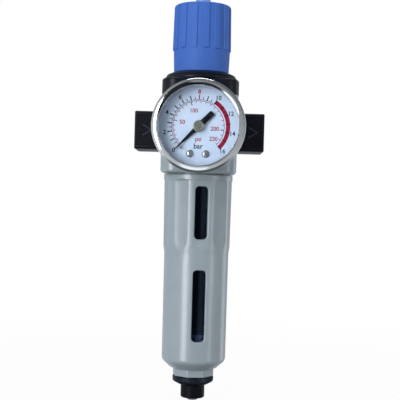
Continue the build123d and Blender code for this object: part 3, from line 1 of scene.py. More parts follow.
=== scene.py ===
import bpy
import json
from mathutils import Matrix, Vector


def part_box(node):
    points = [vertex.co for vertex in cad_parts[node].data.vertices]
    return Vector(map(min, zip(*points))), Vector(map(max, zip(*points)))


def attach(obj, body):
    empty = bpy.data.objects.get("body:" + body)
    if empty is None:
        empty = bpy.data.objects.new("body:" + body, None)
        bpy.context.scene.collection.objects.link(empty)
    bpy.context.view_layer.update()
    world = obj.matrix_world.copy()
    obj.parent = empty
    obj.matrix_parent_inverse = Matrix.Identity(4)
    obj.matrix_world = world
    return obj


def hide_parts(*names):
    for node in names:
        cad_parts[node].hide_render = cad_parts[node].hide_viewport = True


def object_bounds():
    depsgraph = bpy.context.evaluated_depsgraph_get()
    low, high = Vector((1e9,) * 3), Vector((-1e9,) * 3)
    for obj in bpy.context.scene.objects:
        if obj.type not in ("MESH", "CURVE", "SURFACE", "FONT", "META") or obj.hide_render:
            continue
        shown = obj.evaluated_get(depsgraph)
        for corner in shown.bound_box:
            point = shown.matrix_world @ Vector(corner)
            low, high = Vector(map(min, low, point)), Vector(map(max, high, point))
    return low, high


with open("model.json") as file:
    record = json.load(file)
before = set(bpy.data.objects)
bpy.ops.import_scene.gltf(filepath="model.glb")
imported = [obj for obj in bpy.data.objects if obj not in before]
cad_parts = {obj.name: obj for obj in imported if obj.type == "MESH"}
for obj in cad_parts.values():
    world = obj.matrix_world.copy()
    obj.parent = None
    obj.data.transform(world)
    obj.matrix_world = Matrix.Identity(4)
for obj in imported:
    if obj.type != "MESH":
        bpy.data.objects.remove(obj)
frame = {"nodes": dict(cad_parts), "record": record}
CAD_BOX = [list(corner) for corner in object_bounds()]

import json
import logging
import math
from collections.abc import Callable, Iterable, Sequence
from dataclasses import asdict, dataclass, field
from enum import Enum
from functools import cache

import bmesh
import bpy
import numpy as np
from bpy.types import Material, Node, NodeSocket, NodeTree, Object
from mathutils import Matrix, Vector
from mathutils.geometry import delaunay_2d_cdt

MM = 0.001
MERGE_DISTANCE = 1e-7
SHARP_ANGLE = math.radians(32)
log = logging.getLogger("regulator")

Flat = tuple[float, float]
# A corner of an outline: its two coordinates and the radius that it is rounded with.
Corner = tuple[float, float, float]
Point = tuple[float, float, float]
Loop = list[Point]
Faces = list[tuple[int, ...]]
Colour = tuple[float, float, float, float]
WHITE = (1, 1, 1, 1)


# ---------------------------------------------------------------- nodes and colours
def add_node(tree: NodeTree, kind: str, inputs: dict | None = None, **settings: object) -> Node:
    """Adds one node with its settings, values and links.

    Args:
        tree: The node tree that gets the node.
        kind: The node's type name.
        inputs: For each socket, by name or number, a value, a worked-out number, a socket, or a node whose
            first output feeds it.
        settings: The node's own properties.

    Returns:
        The new node.
    """
    node = tree.nodes.new(kind)
    for name, value in settings.items():
        setattr(node, name, value)
    for key, value in (inputs or {}).items():
        if isinstance(value, Field):
            value = value.socket
        if isinstance(value, Node):
            value = value.outputs[0]
        if isinstance(value, NodeSocket):
            tree.links.new(value, node.inputs[key])
        else:
            node.inputs[key].default_value = value
    return node


def fresh_tree(owner: Material | bpy.types.World) -> NodeTree:
    """The emptied node tree of a material or a world."""
    owner.use_nodes = True
    owner.node_tree.nodes.clear()
    return owner.node_tree


def sign(operation: str, swapped: bool = False) -> Callable[..., "Field"]:
    """Makes the method that stands behind one sign of arithmetic.

    Args:
        operation: What the sign does.
        swapped: Whether the number that the method belongs to comes last.

    Returns:
        The method.
    """

    def method(*numbers: "Field | float") -> "Field":
        """Adds the step to the tree."""
        return Field.step(operation, *(reversed(numbers) if swapped else numbers))

    return method


@dataclass(frozen=True)
class Field:
    """A number that a node tree works out. The usual signs of arithmetic add its steps."""

    socket: NodeSocket

    @classmethod
    def step(cls, operation: str, *values: "Field | float") -> "Field":
        """One step of arithmetic on numbers, at least one of which is worked out."""
        tree = next(value.socket.id_data for value in values if isinstance(value, cls))
        return cls(add_node(tree, "ShaderNodeMath", dict(enumerate(values)), operation=operation).outputs[0])

    __add__ = sign("ADD")
    __sub__ = sign("SUBTRACT")
    __rsub__ = sign("SUBTRACT", swapped=True)
    __mul__ = sign("MULTIPLY")
    __truediv__ = sign("DIVIDE")
    __rtruediv__ = sign("DIVIDE", swapped=True)
    __pow__ = sign("POWER")
    __abs__ = sign("ABSOLUTE")
    at_least = sign("MAXIMUM")
    at_most = sign("MINIMUM")

    def __neg__(self) -> "Field":
        """The number with its sign turned."""
        return self * -1.0

    def mapped(self, given: Flat, wanted: Flat, **settings: object) -> "Field":
        """The number moved from one range to another and held at its ends.

        Args:
            given: The range that it comes in.
            wanted: The range that it is moved to.
            settings: The node's own properties.

        Returns:
            The moved number.
        """
        values = {"Value": self, "From Min": given[0], "From Max": given[1]}
        values |= {"To Min": wanted[0], "To Max": wanted[1]}
        return Field(add_node(self.socket.id_data, "ShaderNodeMapRange", values, **settings).outputs[0])


def parts_of(vector: Node | NodeSocket) -> list[Field]:
    """The three parts of a vector."""
    return [Field(part) for part in add_node(vector.id_data, "ShaderNodeSeparateXYZ", {0: vector}).outputs]


def linear(colour: str) -> Colour:
    """Turns an sRGB colour such as "#4a6ebf" into the linear colour that the shaders use."""
    shares = [int(colour[start : start + 2], 16) / 255 for start in (1, 3, 5)]
    light = [share / 12.92 if share <= 0.04045 else ((share + 0.055) / 1.055) ** 2.4 for share in shares]
    return *light, 1.0


def shifted(colour: str, factor: float) -> Colour:
    """The linear colour made lighter or darker by a factor."""
    return *(min(1.0, share * factor) for share in linear(colour)[:3]), 1.0


# ---------------------------------------------------------------- finishes
class Axis(Enum):
    """The line that a turned piece was turned about."""

    UPRIGHT = "upright"
    FORWARD = "forward"


@dataclass(frozen=True)
class Finish:
    """A colour and a polish, with what makes the surface uneven.

    Each pair is the width of one patch or grain in millimetres, and its strength. That is how far the colour
    drifts as a share, how far the roughness drifts, or how deep the relief is in millimetres.
    """

    name: str
    colour: str
    roughness: float
    colour_drift: Flat | None = None
    polish_drift: Flat | None = None
    grain: Flat | None = None
    metallic: float = 0.0
    shine: float = 0.5

    def shader(self) -> dict[str, object]:
        """The values of the shader's sockets."""
        values = {"Base Color": linear(self.colour), "Roughness": self.roughness}
        return values | {"Metallic": self.metallic, "Specular IOR Level": self.shine}

    def noise(self, tree: NodeTree, grain_mm: float, detail: float = 2.0) -> Field:
        """A noise whose blotches are about as wide as the grain, on the piece's own coordinates.

        Args:
            tree: The material's node tree.
            grain_mm: The width of one blotch.
            detail: How many finer layers lie on it.

        Returns:
            The noise, from 0 to 1.
        """
        where = add_node(tree, "ShaderNodeTexCoord").outputs["Object"]
        values = {"Vector": where, "Scale": 1 / (grain_mm * MM), "Detail": detail}
        return Field(add_node(tree, "ShaderNodeTexNoise", values).outputs["Fac"])

    def drifting_colour(self, tree: NodeTree) -> NodeSocket:
        """The colour, which drifts a little over the surface.

        Args:
            tree: The material's node tree.

        Returns:
            The colour.
        """
        wide, spread = self.colour_drift
        ramp = add_node(tree, "ShaderNodeValToRGB", {"Fac": self.noise(tree, wide)})
        ends = ((0.3, 1 - spread), (0.7, 1 + spread))
        for element, (position, factor) in zip(ramp.color_ramp.elements, ends):
            element.position = position
            element.color = shifted(self.colour, factor)
        return ramp.outputs["Color"]

    def drifting_polish(self, tree: NodeTree) -> NodeSocket:
        """The roughness, which drifts a little, as on a handled surface.

        Args:
            tree: The material's node tree.

        Returns:
            The roughness.
        """
        wide, spread = self.polish_drift
        limits = (max(0.0, self.roughness - spread), self.roughness + spread)
        return self.noise(tree, wide, 3.0).mapped((0.3, 0.7), limits).socket

    def height(self, tree: NodeTree) -> Field:
        """What the relief follows."""
        return self.noise(tree, self.grain[0])

    def build(self) -> Material:
        """Makes the material.

        Returns:
            The material.
        """
        material = bpy.data.materials.new(self.name)
        tree = fresh_tree(material)
        surface = add_node(tree, "ShaderNodeBsdfPrincipled", self.shader())
        add_node(tree, "ShaderNodeOutputMaterial", {"Surface": surface})
        if self.colour_drift:
            tree.links.new(self.drifting_colour(tree), surface.inputs["Base Color"])
        if self.polish_drift:
            tree.links.new(self.drifting_polish(tree), surface.inputs["Roughness"])
        if self.grain:
            values = {"Height": self.height(tree), "Distance": self.grain[1] * MM, "Strength": 1.0}
            bump = add_node(tree, "ShaderNodeBump", values)
            tree.links.new(bump.outputs["Normal"], surface.inputs["Normal"])
        return material


@dataclass(frozen=True)
class PaintedCasting(Finish):
    """Satin paint sprayed on a die casting: a faint orange peel softens each highlight."""

    colour_drift: Flat | None = (9.0, 0.03)
    polish_drift: Flat | None = (6.0, 0.04)
    grain: Flat | None = (1.1, 0.006)
    coat: float = 0.15
    coat_roughness: float = 0.22

    def shader(self) -> dict[str, object]:
        """The values of the shader's sockets, with the paint's clear coat."""
        return super().shader() | {"Coat Weight": self.coat, "Coat Roughness": self.coat_roughness}


@dataclass(frozen=True)
class MouldedPlastic(Finish):
    """Moulded nylon or polyacetal: the spark-eroded mould leaves a fine even grain that dulls the shine."""

    colour_drift: Flat | None = (7.0, 0.05)
    polish_drift: Flat | None = (4.0, 0.05)
    grain: Flat | None = (0.45, 0.006)


@dataclass(frozen=True)
class PlatedMetal(Finish):
    """Nickel, chrome or zinc plate: the bright skin keeps only a trace of the polish below it."""

    colour_drift: Flat | None = (5.0, 0.02)
    polish_drift: Flat | None = (2.5, 0.03)
    metallic: float = 1.0


@dataclass(frozen=True)
class TurnedMetal(Finish):
    """Bar stock turned on a lathe: fine rings from the tool run round the axis. The rings are drawn coarser
    than a real feed mark, so that they show."""

    colour_drift: Flat | None = (3.0, 0.05)
    grain: Flat | None = (0.25, 0.004)
    metallic: float = 1.0
    axis: Axis = Axis.UPRIGHT

    def height(self, tree: NodeTree) -> Field:
        """The tool's rings, which depend on the distance from the axis and the place along it.

        Args:
            tree: The material's node tree.

        Returns:
            What the relief follows.
        """
        x, y, z = parts_of(add_node(tree, "ShaderNodeTexCoord").outputs["Object"])
        along, other = (z, y) if self.axis is Axis.UPRIGHT else (y, z)
        flat = add_node(tree, "ShaderNodeCombineXYZ", {0: x, 1: other})
        radius = add_node(tree, "ShaderNodeVectorMath", {0: flat}, operation="LENGTH").outputs["Value"]
        rings = add_node(tree, "ShaderNodeCombineXYZ", {0: radius, 1: along})
        values = {"Vector": rings, "Scale": 1 / (self.grain[0] * MM), "Detail": 1.0}
        return Field(add_node(tree, "ShaderNodeTexNoise", values).outputs["Fac"])


@dataclass(frozen=True)
class DrawnWire(Finish):
    """Spring wire: drawn through a die, so its fine scratches run along it."""

    colour_drift: Flat | None = (1.5, 0.12)
    polish_drift: Flat | None = (0.8, 0.08)
    metallic: float = 1.0


@dataclass(frozen=True)
class ClearPlastic(Finish):
    """Polycarbonate or glass: clear through, with a sharp reflection on its skin. Light from the lamps passes
    through it to what lies behind."""

    polish_drift: Flat | None = (8.0, 0.01)
    bending: float = 1.5
    shade: str = "#ffffff"
    mirror: str = "#ffffff"

    def shader(self) -> dict[str, object]:
        """The values of the shader's sockets, for a clear piece."""
        values = {"Transmission Weight": 1.0, "IOR": self.bending, "Specular Tint": linear(self.mirror)}
        return super().shader() | values

    def build(self) -> Material:
        """Makes the material, which lets the lamps' light through.

        Returns:
            The material.
        """
        material = super().build()
        tree = material.node_tree
        output = next(node for node in tree.nodes if node.type == "OUTPUT_MATERIAL").inputs["Surface"]
        passing = add_node(tree, "ShaderNodeBsdfTransparent", {"Color": linear(self.shade)})
        shadow = add_node(tree, "ShaderNodeLightPath").outputs["Is Shadow Ray"]
        surface = output.links[0].from_socket
        both = add_node(tree, "ShaderNodeMixShader", {0: shadow, 1: surface, 2: passing})
        tree.links.new(both.outputs[0], output)
        return material


@dataclass(frozen=True)
class PrintedEnamel(Finish):
    """Enamel or screen ink on sheet metal: flat and matt, with a barely uneven film."""

    colour_drift: Flat | None = (4.0, 0.015)
    grain: Flat | None = (0.5, 0.002)
    shine: float = 0.2


@dataclass(frozen=True)
class Rubber(Finish):
    """Nitrile rubber: matt and dark, with a bloom of paler patches."""

    colour_drift: Flat | None = (1.2, 0.2)
    grain: Flat | None = (0.3, 0.01)


@dataclass(frozen=True)
class SinteredBronze(Finish):
    """Bronze beads sintered to a porous tube: each bead shows as a small bump with a dark gap round it."""

    colour_drift: Flat | None = (1.0, 0.25)
    grain: Flat | None = (0.5, -0.1)
    metallic: float = 0.8

    def height(self, tree: NodeTree) -> Field:
        """How far a place lies from the middle of its bead.

        Args:
            tree: The material's node tree.

        Returns:
            What the relief follows.
        """
        where = add_node(tree, "ShaderNodeTexCoord").outputs["Object"]
        values = {"Vector": where, "Scale": 1 / (self.grain[0] * MM)}
        return Field(add_node(tree, "ShaderNodeTexVoronoi", values).outputs["Distance"])


# Each record slot and the finish that its pieces get.
FINISHES: dict[str, Finish] = {
    "cast_grey": PaintedCasting(
        "zinc_die_casting_satin_painted", "#9aa7af", 0.34, grain=(1.6, 0.003), coat=0.9, coat_roughness=0.24
    ),
    "knob_blue": MouldedPlastic("nylon_moulded_blue", "#446fc4", 0.55, shine=0.2),
    "button_blue": MouldedPlastic("polyacetal_moulded_light_blue", "#7fa6dc", 0.4),
    "black_plastic": MouldedPlastic("nylon_moulded_black", "#0f141e", 0.36, shine=0.22),
    "collar_black": TurnedMetal("brass_turned_blackened", "#343b45", 0.5),
    "plate_black": PaintedCasting(
        "zinc_die_casting_black_coated", "#0a0e1a", 0.42, grain=(0.7, 0.004), coat=0.05, shine=0.2
    ),
    "spring_steel": DrawnWire("spring_steel_drawn", "#8f9092", 0.3),
    "zinc_steel": PlatedMetal("steel_zinc_plated", "#b4b6b4", 0.34, polish_drift=(2.0, 0.06)),
    "nickel_steel": PlatedMetal("steel_nickel_plated", "#d6d4cc", 0.2),
    "brass": TurnedMetal("brass_turned", "#b8955a", 0.32),
    "bronze_tube": TurnedMetal("bronze_drawn", "#a06f45", 0.3, axis=Axis.FORWARD),
    "rubber": Rubber("nitrile_rubber_moulded", "#1b1b1d", 0.7),
    "inner_plastic": MouldedPlastic("nylon_moulded_dark_grey", "#1a1c20", 0.45),
    "filter_bronze": SinteredBronze("bronze_sintered", "#4a3a2c", 0.55),
    "bowl_clear": ClearPlastic(
        "polycarbonate_moulded_smoked", "#75829a", 0.03, bending=1.58, shade="#d4dae4", mirror="#a4b6dc"
    ),
    "screen_grey": MouldedPlastic("polyacetal_moulded_grey_blue", "#b9c8d8", 0.45),
    "tip_grey": MouldedPlastic("polyacetal_moulded_grey", "#8f98a2", 0.45),
    "case_black": PaintedCasting("steel_pressed_black_enamel", "#101114", 0.25, grain=(0.8, 0.003)),
    "bezel_chrome": PlatedMetal("steel_chrome_plated", "#e2e4e6", 0.06, polish_drift=(6.0, 0.02)),
    "lens_clear": ClearPlastic(
        "glass_polished", "#ffffff", 0.0, bending=1.45, shade="#f4f8fc", mirror="#6c7680"
    ),
    "dial_white": PrintedEnamel("aluminium_white_enamel", "#c6d6ec", 0.55),
    "pointer_black": PrintedEnamel("aluminium_black_lacquer", "#0c0f14", 0.4),
    "hub_nickel": TurnedMetal(
        "brass_nickel_plated_turned", "#a3a79c", 0.32, grain=(0.3, 0.004), axis=Axis.FORWARD
    ),
}
# Finishes of single pieces and details, where they differ from their slot's.
OWN_FINISHES: dict[str, Finish] = {
    "ink_black": PrintedEnamel("screen_ink_black", "#0c1018", 0.5),
    "ink_red": PrintedEnamel("screen_ink_red", "#921034", 0.5),
    "drain_stem": MouldedPlastic("nylon_moulded_black_matt", "#070a10", 0.5, shine=0.12),
    "dial_screws": PlatedMetal("steel_nickel_plated_satin", "#9fa6ab", 0.3),
    "lens_gasket": Rubber("silicone_rubber_moulded_pale", "#b9c2cc", 0.6),
    # The guard's bore: a near-black that paints the shade inside the closed guard, seen through its windows.
    "guard_bore_painted_shade": PaintedCasting("zinc_die_casting_dark_primed", "#0e1117", 0.6),
    # A lighter blue-grey that paints the highlight on the side plates' border slope and on their flow mark.
    "painted_edge_highlight": PaintedCasting("zinc_die_casting_worn_edge", "#2c3444", 0.45),
}


@dataclass
class Palette:
    """Builds each finish once and hands its material out."""

    finishes: dict[str, Finish]
    built: dict[str, Material] = field(default_factory=dict)

    def __getitem__(self, key: str) -> Material:
        """The material of a slot, or of a piece that has a finish of its own."""
        if key not in self.built:
            self.built[key] = self.finishes[key].build()
        return self.built[key]


# ---------------------------------------------------------------- lines
def rounded(corners: Sequence[Corner], closed: bool = False, steps: int = 5) -> list[Flat]:
    """Turns corners into a line that is rounded at each of them.

    Args:
        corners: For each corner its two coordinates and its rounding radius.
        closed: Whether the last corner runs on to the first.
        steps: How many pieces each arc has.

    Returns:
        The points of the line.
    """
    line: list[Flat] = []
    for index, (across, up, radius) in enumerate(corners):
        at_end = not closed and index in (0, len(corners) - 1)
        if at_end or radius <= 0:
            line.append((across, up))
            continue
        here = Vector((across, up))
        back = Vector(corners[index - 1][:2]) - here
        on = Vector(corners[(index + 1) % len(corners)][:2]) - here
        half = back.angle(on) / 2
        reach = min(radius / math.tan(half), 0.49 * back.length, 0.49 * on.length)
        size = reach * math.tan(half)
        middle = here + (back.normalized() + on.normalized()).normalized() * size / math.sin(half)
        first = here + back.normalized() * reach - middle
        last = here + on.normalized() * reach - middle
        begin = math.atan2(first.y, first.x)
        sweep = math.remainder(math.atan2(last.y, last.x) - begin, 2 * math.pi)
        for step in range(steps + 1):
            angle = begin + sweep * step / steps
            line.append((middle.x + size * math.cos(angle), middle.y + size * math.sin(angle)))
    return line


def supported(
    line: Sequence[Flat], closed: bool = False, near: float = 0.1, spacing: float = math.inf
) -> list[Flat]:
    """Adds points close to the ends of each long run, so that its flat stays flat when shaded smooth.

    Args:
        line: The points.
        closed: Whether the last point runs on to the first.
        near: How far from the ends the points lie.
        spacing: The longest run that is left undivided.

    Returns:
        The line with its added points.
    """
    full: list[Flat] = []
    following = list(line[1:]) + [line[0]]
    for index, (here, there) in enumerate(zip(line, following)):
        full.append(here)
        length = math.dist(here, there)
        if length < 4 * near or (not closed and index == len(line) - 1):
            continue
        inner = max(1, math.ceil((length - 2 * near) / spacing))
        shares = [near / length + (1 - 2 * near / length) * step / inner for step in range(inner + 1)]
        full += [(here[0] + (there[0] - here[0]) * s, here[1] + (there[1] - here[1]) * s) for s in shares]
    return full


def ellipse_arc(middle: Flat, radii: Flat, begin: float, end: float, steps: int = 14) -> list[Flat]:
    """Points on an ellipse's arc, with its angles in degrees."""
    angles = [math.radians(begin + (end - begin) * step / steps) for step in range(steps + 1)]
    return [(middle[0] + radii[0] * math.cos(a), middle[1] + radii[1] * math.sin(a)) for a in angles]


# ---------------------------------------------------------------- meshes
def tidy(mesh: bpy.types.Mesh, outward: bool = True) -> None:
    """Merges doubled points, turns faces outwards and shades smooth up to the sharp edges.

    Args:
        mesh: The mesh to tidy.
        outward: Whether the faces are turned to point outwards.
    """
    work = bmesh.new()
    work.from_mesh(mesh)
    bmesh.ops.remove_doubles(work, verts=work.verts, dist=MERGE_DISTANCE)
    bmesh.ops.dissolve_degenerate(work, edges=work.edges, dist=MERGE_DISTANCE)
    if outward:
        bmesh.ops.recalc_face_normals(work, faces=work.faces)
    for face in work.faces:
        face.smooth = True
    for edge in work.edges:
        edge.smooth = len(edge.link_faces) == 2 and edge.calc_face_angle() < SHARP_ANGLE
    work.to_mesh(mesh)
    work.free()


def linked(name: str, data: bpy.types.ID) -> Object:
    """A new object in the scene."""
    made = bpy.data.objects.new(name, data)
    bpy.context.scene.collection.objects.link(made)
    return made


def new_piece(name: str, points: Iterable[Point], faces: Iterable[Sequence[int]]) -> Object:
    """Makes an object of points in millimetres.

    Args:
        name: The object's name.
        points: The corners, in millimetres.
        faces: For each face the numbers of its corners.

    Returns:
        The object, in metres and tidied.
    """
    mesh = bpy.data.meshes.new(name)
    mesh.from_pydata([tuple(share * MM for share in point) for point in points], [], list(faces))
    tidy(mesh)
    return linked(name, mesh)


def strip(lower: Sequence[int], upper: Sequence[int], round_trip: bool = True) -> Faces:
    """Faces between two rows of points.

    Args:
        lower: The point numbers of one row, or one point.
        upper: Those of the other row.
        round_trip: Whether the rows close on themselves.

    Returns:
        Four-sided faces, or triangles where one row is a single point.
    """
    count = max(len(lower), len(upper))
    faces = []
    for here in range(count if round_trip else count - 1):
        there = (here + 1) % count
        ring = [lower[place % len(lower)] for place in (here, there)]
        ring += [upper[place % len(upper)] for place in (there, here)]
        faces.append(tuple(dict.fromkeys(ring)))
    return faces


def loft(name: str, loops: Sequence[Loop], closed: bool = False) -> Object:
    """Skins a row of loops.

    Args:
        name: The object's name.
        loops: Loops with equally many points, or a single point where a pole closes the end.
        closed: Whether the last loop joins the first.

    Returns:
        The object.
    """
    points: Loop = []
    rows = []
    for loop in loops:
        rows.append(range(len(points), len(points) + len(loop)))
        points += loop
    faces = [face for low, high in zip(rows, rows[1:]) for face in strip(low, high)]
    if closed:
        faces += strip(rows[-1], rows[0])
    return new_piece(name, points, faces)


def circle(radius: float, height: float, turns: int) -> Loop:
    """A level circle that starts at the front, or its middle where the radius is nothing."""
    if radius < MERGE_DISTANCE:
        return [(0.0, 0.0, height)]
    angles = [2 * math.pi * step / turns for step in range(turns)]
    return [(radius * math.sin(angle), -radius * math.cos(angle), height) for angle in angles]


def lathe(name: str, line: Sequence[Flat], turns: int = 96, closed: bool = False) -> Object:
    """Turns a line of radius and height round the upright axis.

    Args:
        name: The object's name.
        line: The outline, from pole to pole or closed.
        turns: How many sides a full turn has.
        closed: Whether the outline is a closed one that doesn't touch the axis.

    Returns:
        The object.
    """
    return loft(name, [circle(radius, height, turns) for radius, height in line], closed)


def turned(name: str, corners: Sequence[Corner], turns: int, closed: bool = False, **spread: float) -> Object:
    """Turns a piece about the upright axis from the corners of its outline.

    Args:
        name: The object's name.
        corners: For each corner its radius, its height and its rounding.
        turns: How many sides a full turn has.
        closed: Whether the outline is a closed one that doesn't touch the axis.
        spread: How its long runs are supported, as supported() takes it.

    Returns:
        The object.
    """
    return lathe(name, supported(rounded(corners, closed), closed, **spread), turns, closed)


def plug(radius: float, low: float, high: float) -> Object:
    """A round bar on the upright axis that cuts a hole."""
    return lathe("cutter", [(0, low), (radius, low), (radius, high), (0, high)], 48)


def slab(name: str, outline: Sequence[Flat], low: float, high: float) -> Object:
    """A flat plate with a given outline, from one level to another."""
    count = len(outline)
    points = [(x, y, low) for x, y in outline] + [(x, y, high) for x, y in outline]
    faces = strip(range(count), range(count, 2 * count))
    faces += [tuple(range(count)), tuple(range(count, 2 * count))]
    return new_piece(name, points, faces)


def baked(piece: Object) -> Object:
    """Turns a piece and its modifiers into a plain mesh.

    Args:
        piece: The object, which keeps its name.

    Returns:
        The same object with its new mesh and no modifiers.
    """
    graph = bpy.context.evaluated_depsgraph_get()
    mesh = bpy.data.meshes.new_from_object(piece.evaluated_get(graph))
    piece.modifiers.clear()
    piece.data = mesh
    return piece


def cut(piece: Object, cutters: Sequence[Object]) -> Object:
    """Cuts shapes out of a piece and removes the cutters.

    Args:
        piece: The object that is cut.
        cutters: Closed shapes to take away.

    Returns:
        The cut object.
    """
    for cutter in cutters:
        modifier = piece.modifiers.new("cut", "BOOLEAN")
        modifier.operation = "DIFFERENCE"
        modifier.solver = "EXACT"
        modifier.object = cutter
    baked(piece)
    for cutter in cutters:
        bpy.data.objects.remove(cutter)
    tidy(piece.data)
    return piece


def joined(name: str, parts: Sequence[Object]) -> Object:
    """Makes one object of several.

    Args:
        name: The new object's name.
        parts: The objects, which keep their materials.

    Returns:
        The object.
    """
    with bpy.context.temp_override(active_object=parts[0], selected_editable_objects=list(parts)):
        bpy.ops.object.join()
    parts[0].name = name
    return parts[0]


class Facing(Enum):
    """Where the upright axis of a drawn piece goes when it is put in place."""

    FORWARD = Matrix.Rotation(math.radians(90), 4, "X")
    RIGHT = Matrix.Rotation(math.radians(90), 4, "Y")
    LEFT = Matrix.Rotation(math.radians(-90), 4, "Y")


def laid(piece: Object, facing: Facing, shift: Sequence[float] = (0, 0, 0)) -> Object:
    """Turns a drawn piece into place, in its mesh.

    Args:
        piece: The object, drawn about the upright axis.
        facing: Where that axis goes.
        shift: A move before the turn, in millimetres.

    Returns:
        The object.
    """
    piece.data.transform(facing.value @ Matrix.Translation(Vector(shift) * MM))
    return piece


def spun(piece: Object, degrees: float, shift: Sequence[float] = (0, 0, 0)) -> Object:
    """Turns a drawn piece about the upright axis and then moves it, in its mesh.

    Args:
        piece: The object.
        degrees: The turn, counter-clockwise from above.
        shift: The move, in millimetres.

    Returns:
        The object.
    """
    move = Matrix.Translation(Vector(shift) * MM)
    piece.data.transform(move @ Matrix.Rotation(math.radians(degrees), 4, "Z"))
    return piece


def size_of(box: Sequence[Vector]) -> tuple[float, float, float]:
    """A box's reach to the right of the axis, its foot and its top, in millimetres."""
    low, high = box
    return high.x / MM, low.z / MM, high.z / MM


BODY_OF = {node: body for body, nodes in frame["record"]["behaviour"]["bodies"].items() for node in nodes}


def stand_for(piece: Object, node: str, slot: str, palette: Palette, finish: str | None = None) -> Object:
    """Lets a modelled piece stand for a CAD node: it rides on its body and takes its slot.

    Args:
        piece: The finished object.
        node: The node that it replaces.
        slot: The record's slot that its finish belongs to.
        palette: The finishes.
        finish: Its own finish's key, where that differs from its slot's.

    Returns:
        The object.
    """
    if not piece.data.materials:
        piece.data.materials.append(palette[finish or slot])
    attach(piece, BODY_OF[node])
    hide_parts(node)
    log.info("%s: %d faces, on %s", piece.name, len(piece.data.polygons), BODY_OF[node])
    return piece


# ---------------------------------------------------------------- geometry node trees
def new_tree(name: str, sockets: dict[str, str]) -> tuple[NodeTree, Node, Node]:
    """Starts a geometry tree.

    Args:
        name: The tree's name.
        sockets: The named inputs besides the geometry, each with its socket type.

    Returns:
        The tree, its input node and its output node.
    """
    tree = bpy.data.node_groups.new(name, "GeometryNodeTree")
    tree.interface.new_socket("Geometry", in_out="INPUT", socket_type="NodeSocketGeometry")
    for label, kind in sockets.items():
        tree.interface.new_socket(label, in_out="INPUT", socket_type="NodeSocket" + kind)
    tree.interface.new_socket("Geometry", in_out="OUTPUT", socket_type="NodeSocketGeometry")
    return tree, add_node(tree, "NodeGroupInput"), add_node(tree, "NodeGroupOutput")


def finish_tree(tree: NodeTree, geometry: Node, source: Node, output: Node) -> NodeTree:
    """Ends a tree in real geometry with its material.

    Args:
        tree: The tree.
        geometry: The node that makes its geometry.
        source: Its input node.
        output: Its output node.

    Returns:
        The tree.
    """
    real = add_node(tree, "GeometryNodeRealizeInstances", {0: geometry})
    values = {"Geometry": real, "Material": source.outputs["Material"]}
    tree.links.new(add_node(tree, "GeometryNodeSetMaterial", values).outputs[0], output.inputs[0])
    return tree


@cache
def radial_grooves() -> NodeTree:
    """The rule for everything that is grooved round its axis: flutes, grip grooves and knurls.

    Each groove is hollow to its depth over its middle and rises to nothing at its sides and ends, so a
    shoulder of 1 gives a shallow scoop and a small one gives a flat floor with steep sides. No groove goes
    deeper than the floor's radius, which may change evenly with the height.

    Returns:
        The tree. Lengths are in metres and angles in radians.
    """
    names = ("Phase", "Half Angle", "Depth", "Low", "High", "Low Run", "High Run", "Shoulder", "Inner")
    names += ("Floor", "Floor Slope")
    sockets = {"Count": "Int"} | {name: "Float" for name in names} | {"Material": "Material"}
    tree, source, output = new_tree("radial_grooves", sockets)
    given = {name: Field(source.outputs[name]) for name in sockets}
    x, y, z = parts_of(add_node(tree, "GeometryNodeInputPosition"))
    radius = Field.step("SQRT", x * x + y * y)
    angle = Field.step("ARCTAN2", x, -y)
    half_pitch = math.pi / given["Count"]
    off_middle = Field.step("WRAP", angle - given["Phase"], half_pitch, -half_pitch)
    side = (abs(off_middle) / given["Half Angle"]) ** 2.0
    below = given["Low"] + given["Low Run"] - z
    above = z - (given["High"] - given["High Run"])
    ends = (below.at_least(0.0) / given["Low Run"]) ** 2.0 + (above.at_least(0.0) / given["High Run"]) ** 2.0
    level = ((1.0 - (side + ends)) / given["Shoulder"]).at_least(0.0).at_most(1.0)
    room = radius - (given["Floor"] + (z - given["Low"]) * given["Floor Slope"])
    depth = (level * given["Depth"]).at_most(room.at_least(0.0))
    sink = depth / radius.at_least(1e-6)
    outward = add_node(tree, "ShaderNodeCombineXYZ", {0: x, 1: y})
    shift = add_node(tree, "ShaderNodeVectorMath", {0: outward, "Scale": -sink}, operation="SCALE")
    skin = Field.step("GREATER_THAN", radius, given["Inner"])
    values = {"Geometry": source.outputs["Geometry"], "Selection": skin, "Offset": shift}
    return finish_tree(tree, add_node(tree, "GeometryNodeSetPosition", values), source, output)


@cache
def polar_array() -> NodeTree:
    """The rule for what repeats round an axis, such as the marks of a scale.

    Returns:
        The tree. Its angles are in radians, and each copy is turned on from the last by one step.
    """
    sockets = {"Count": "Int", "First Angle": "Float", "Step Angle": "Float", "Material": "Material"}
    tree, source, output = new_tree("polar_array", sockets)
    given = source.outputs
    row = add_node(tree, "GeometryNodeMeshLine", {"Count": given["Count"], "Offset": (0, 0, 0)})
    number = Field(add_node(tree, "GeometryNodeInputIndex").outputs[0])
    angle = number * Field(given["Step Angle"]) + Field(given["First Angle"])
    angles = add_node(tree, "ShaderNodeCombineXYZ", {2: angle})
    turn = add_node(tree, "FunctionNodeEulerToRotation", {0: angles})
    values = {"Points": row, "Instance": given["Geometry"], "Rotation": turn}
    return finish_tree(tree, add_node(tree, "GeometryNodeInstanceOnPoints", values), source, output)


def grown(piece: Object, tree: NodeTree, **values: object) -> Object:
    """Runs a geometry tree on a piece and keeps the result as its plain mesh.

    Args:
        piece: The object.
        tree: The tree.
        values: The tree's inputs, in small letters and with underscores for spaces.

    Returns:
        The object.
    """
    modifier = piece.modifiers.new(tree.name, "NODES")
    modifier.node_group = tree
    for socket in tree.interface.items_tree:
        key = socket.name.lower().replace(" ", "_")
        if socket.in_out == "INPUT" and key in values:
            modifier[socket.identifier] = values[key]
    baked(piece)
    tidy(piece.data)
    return piece


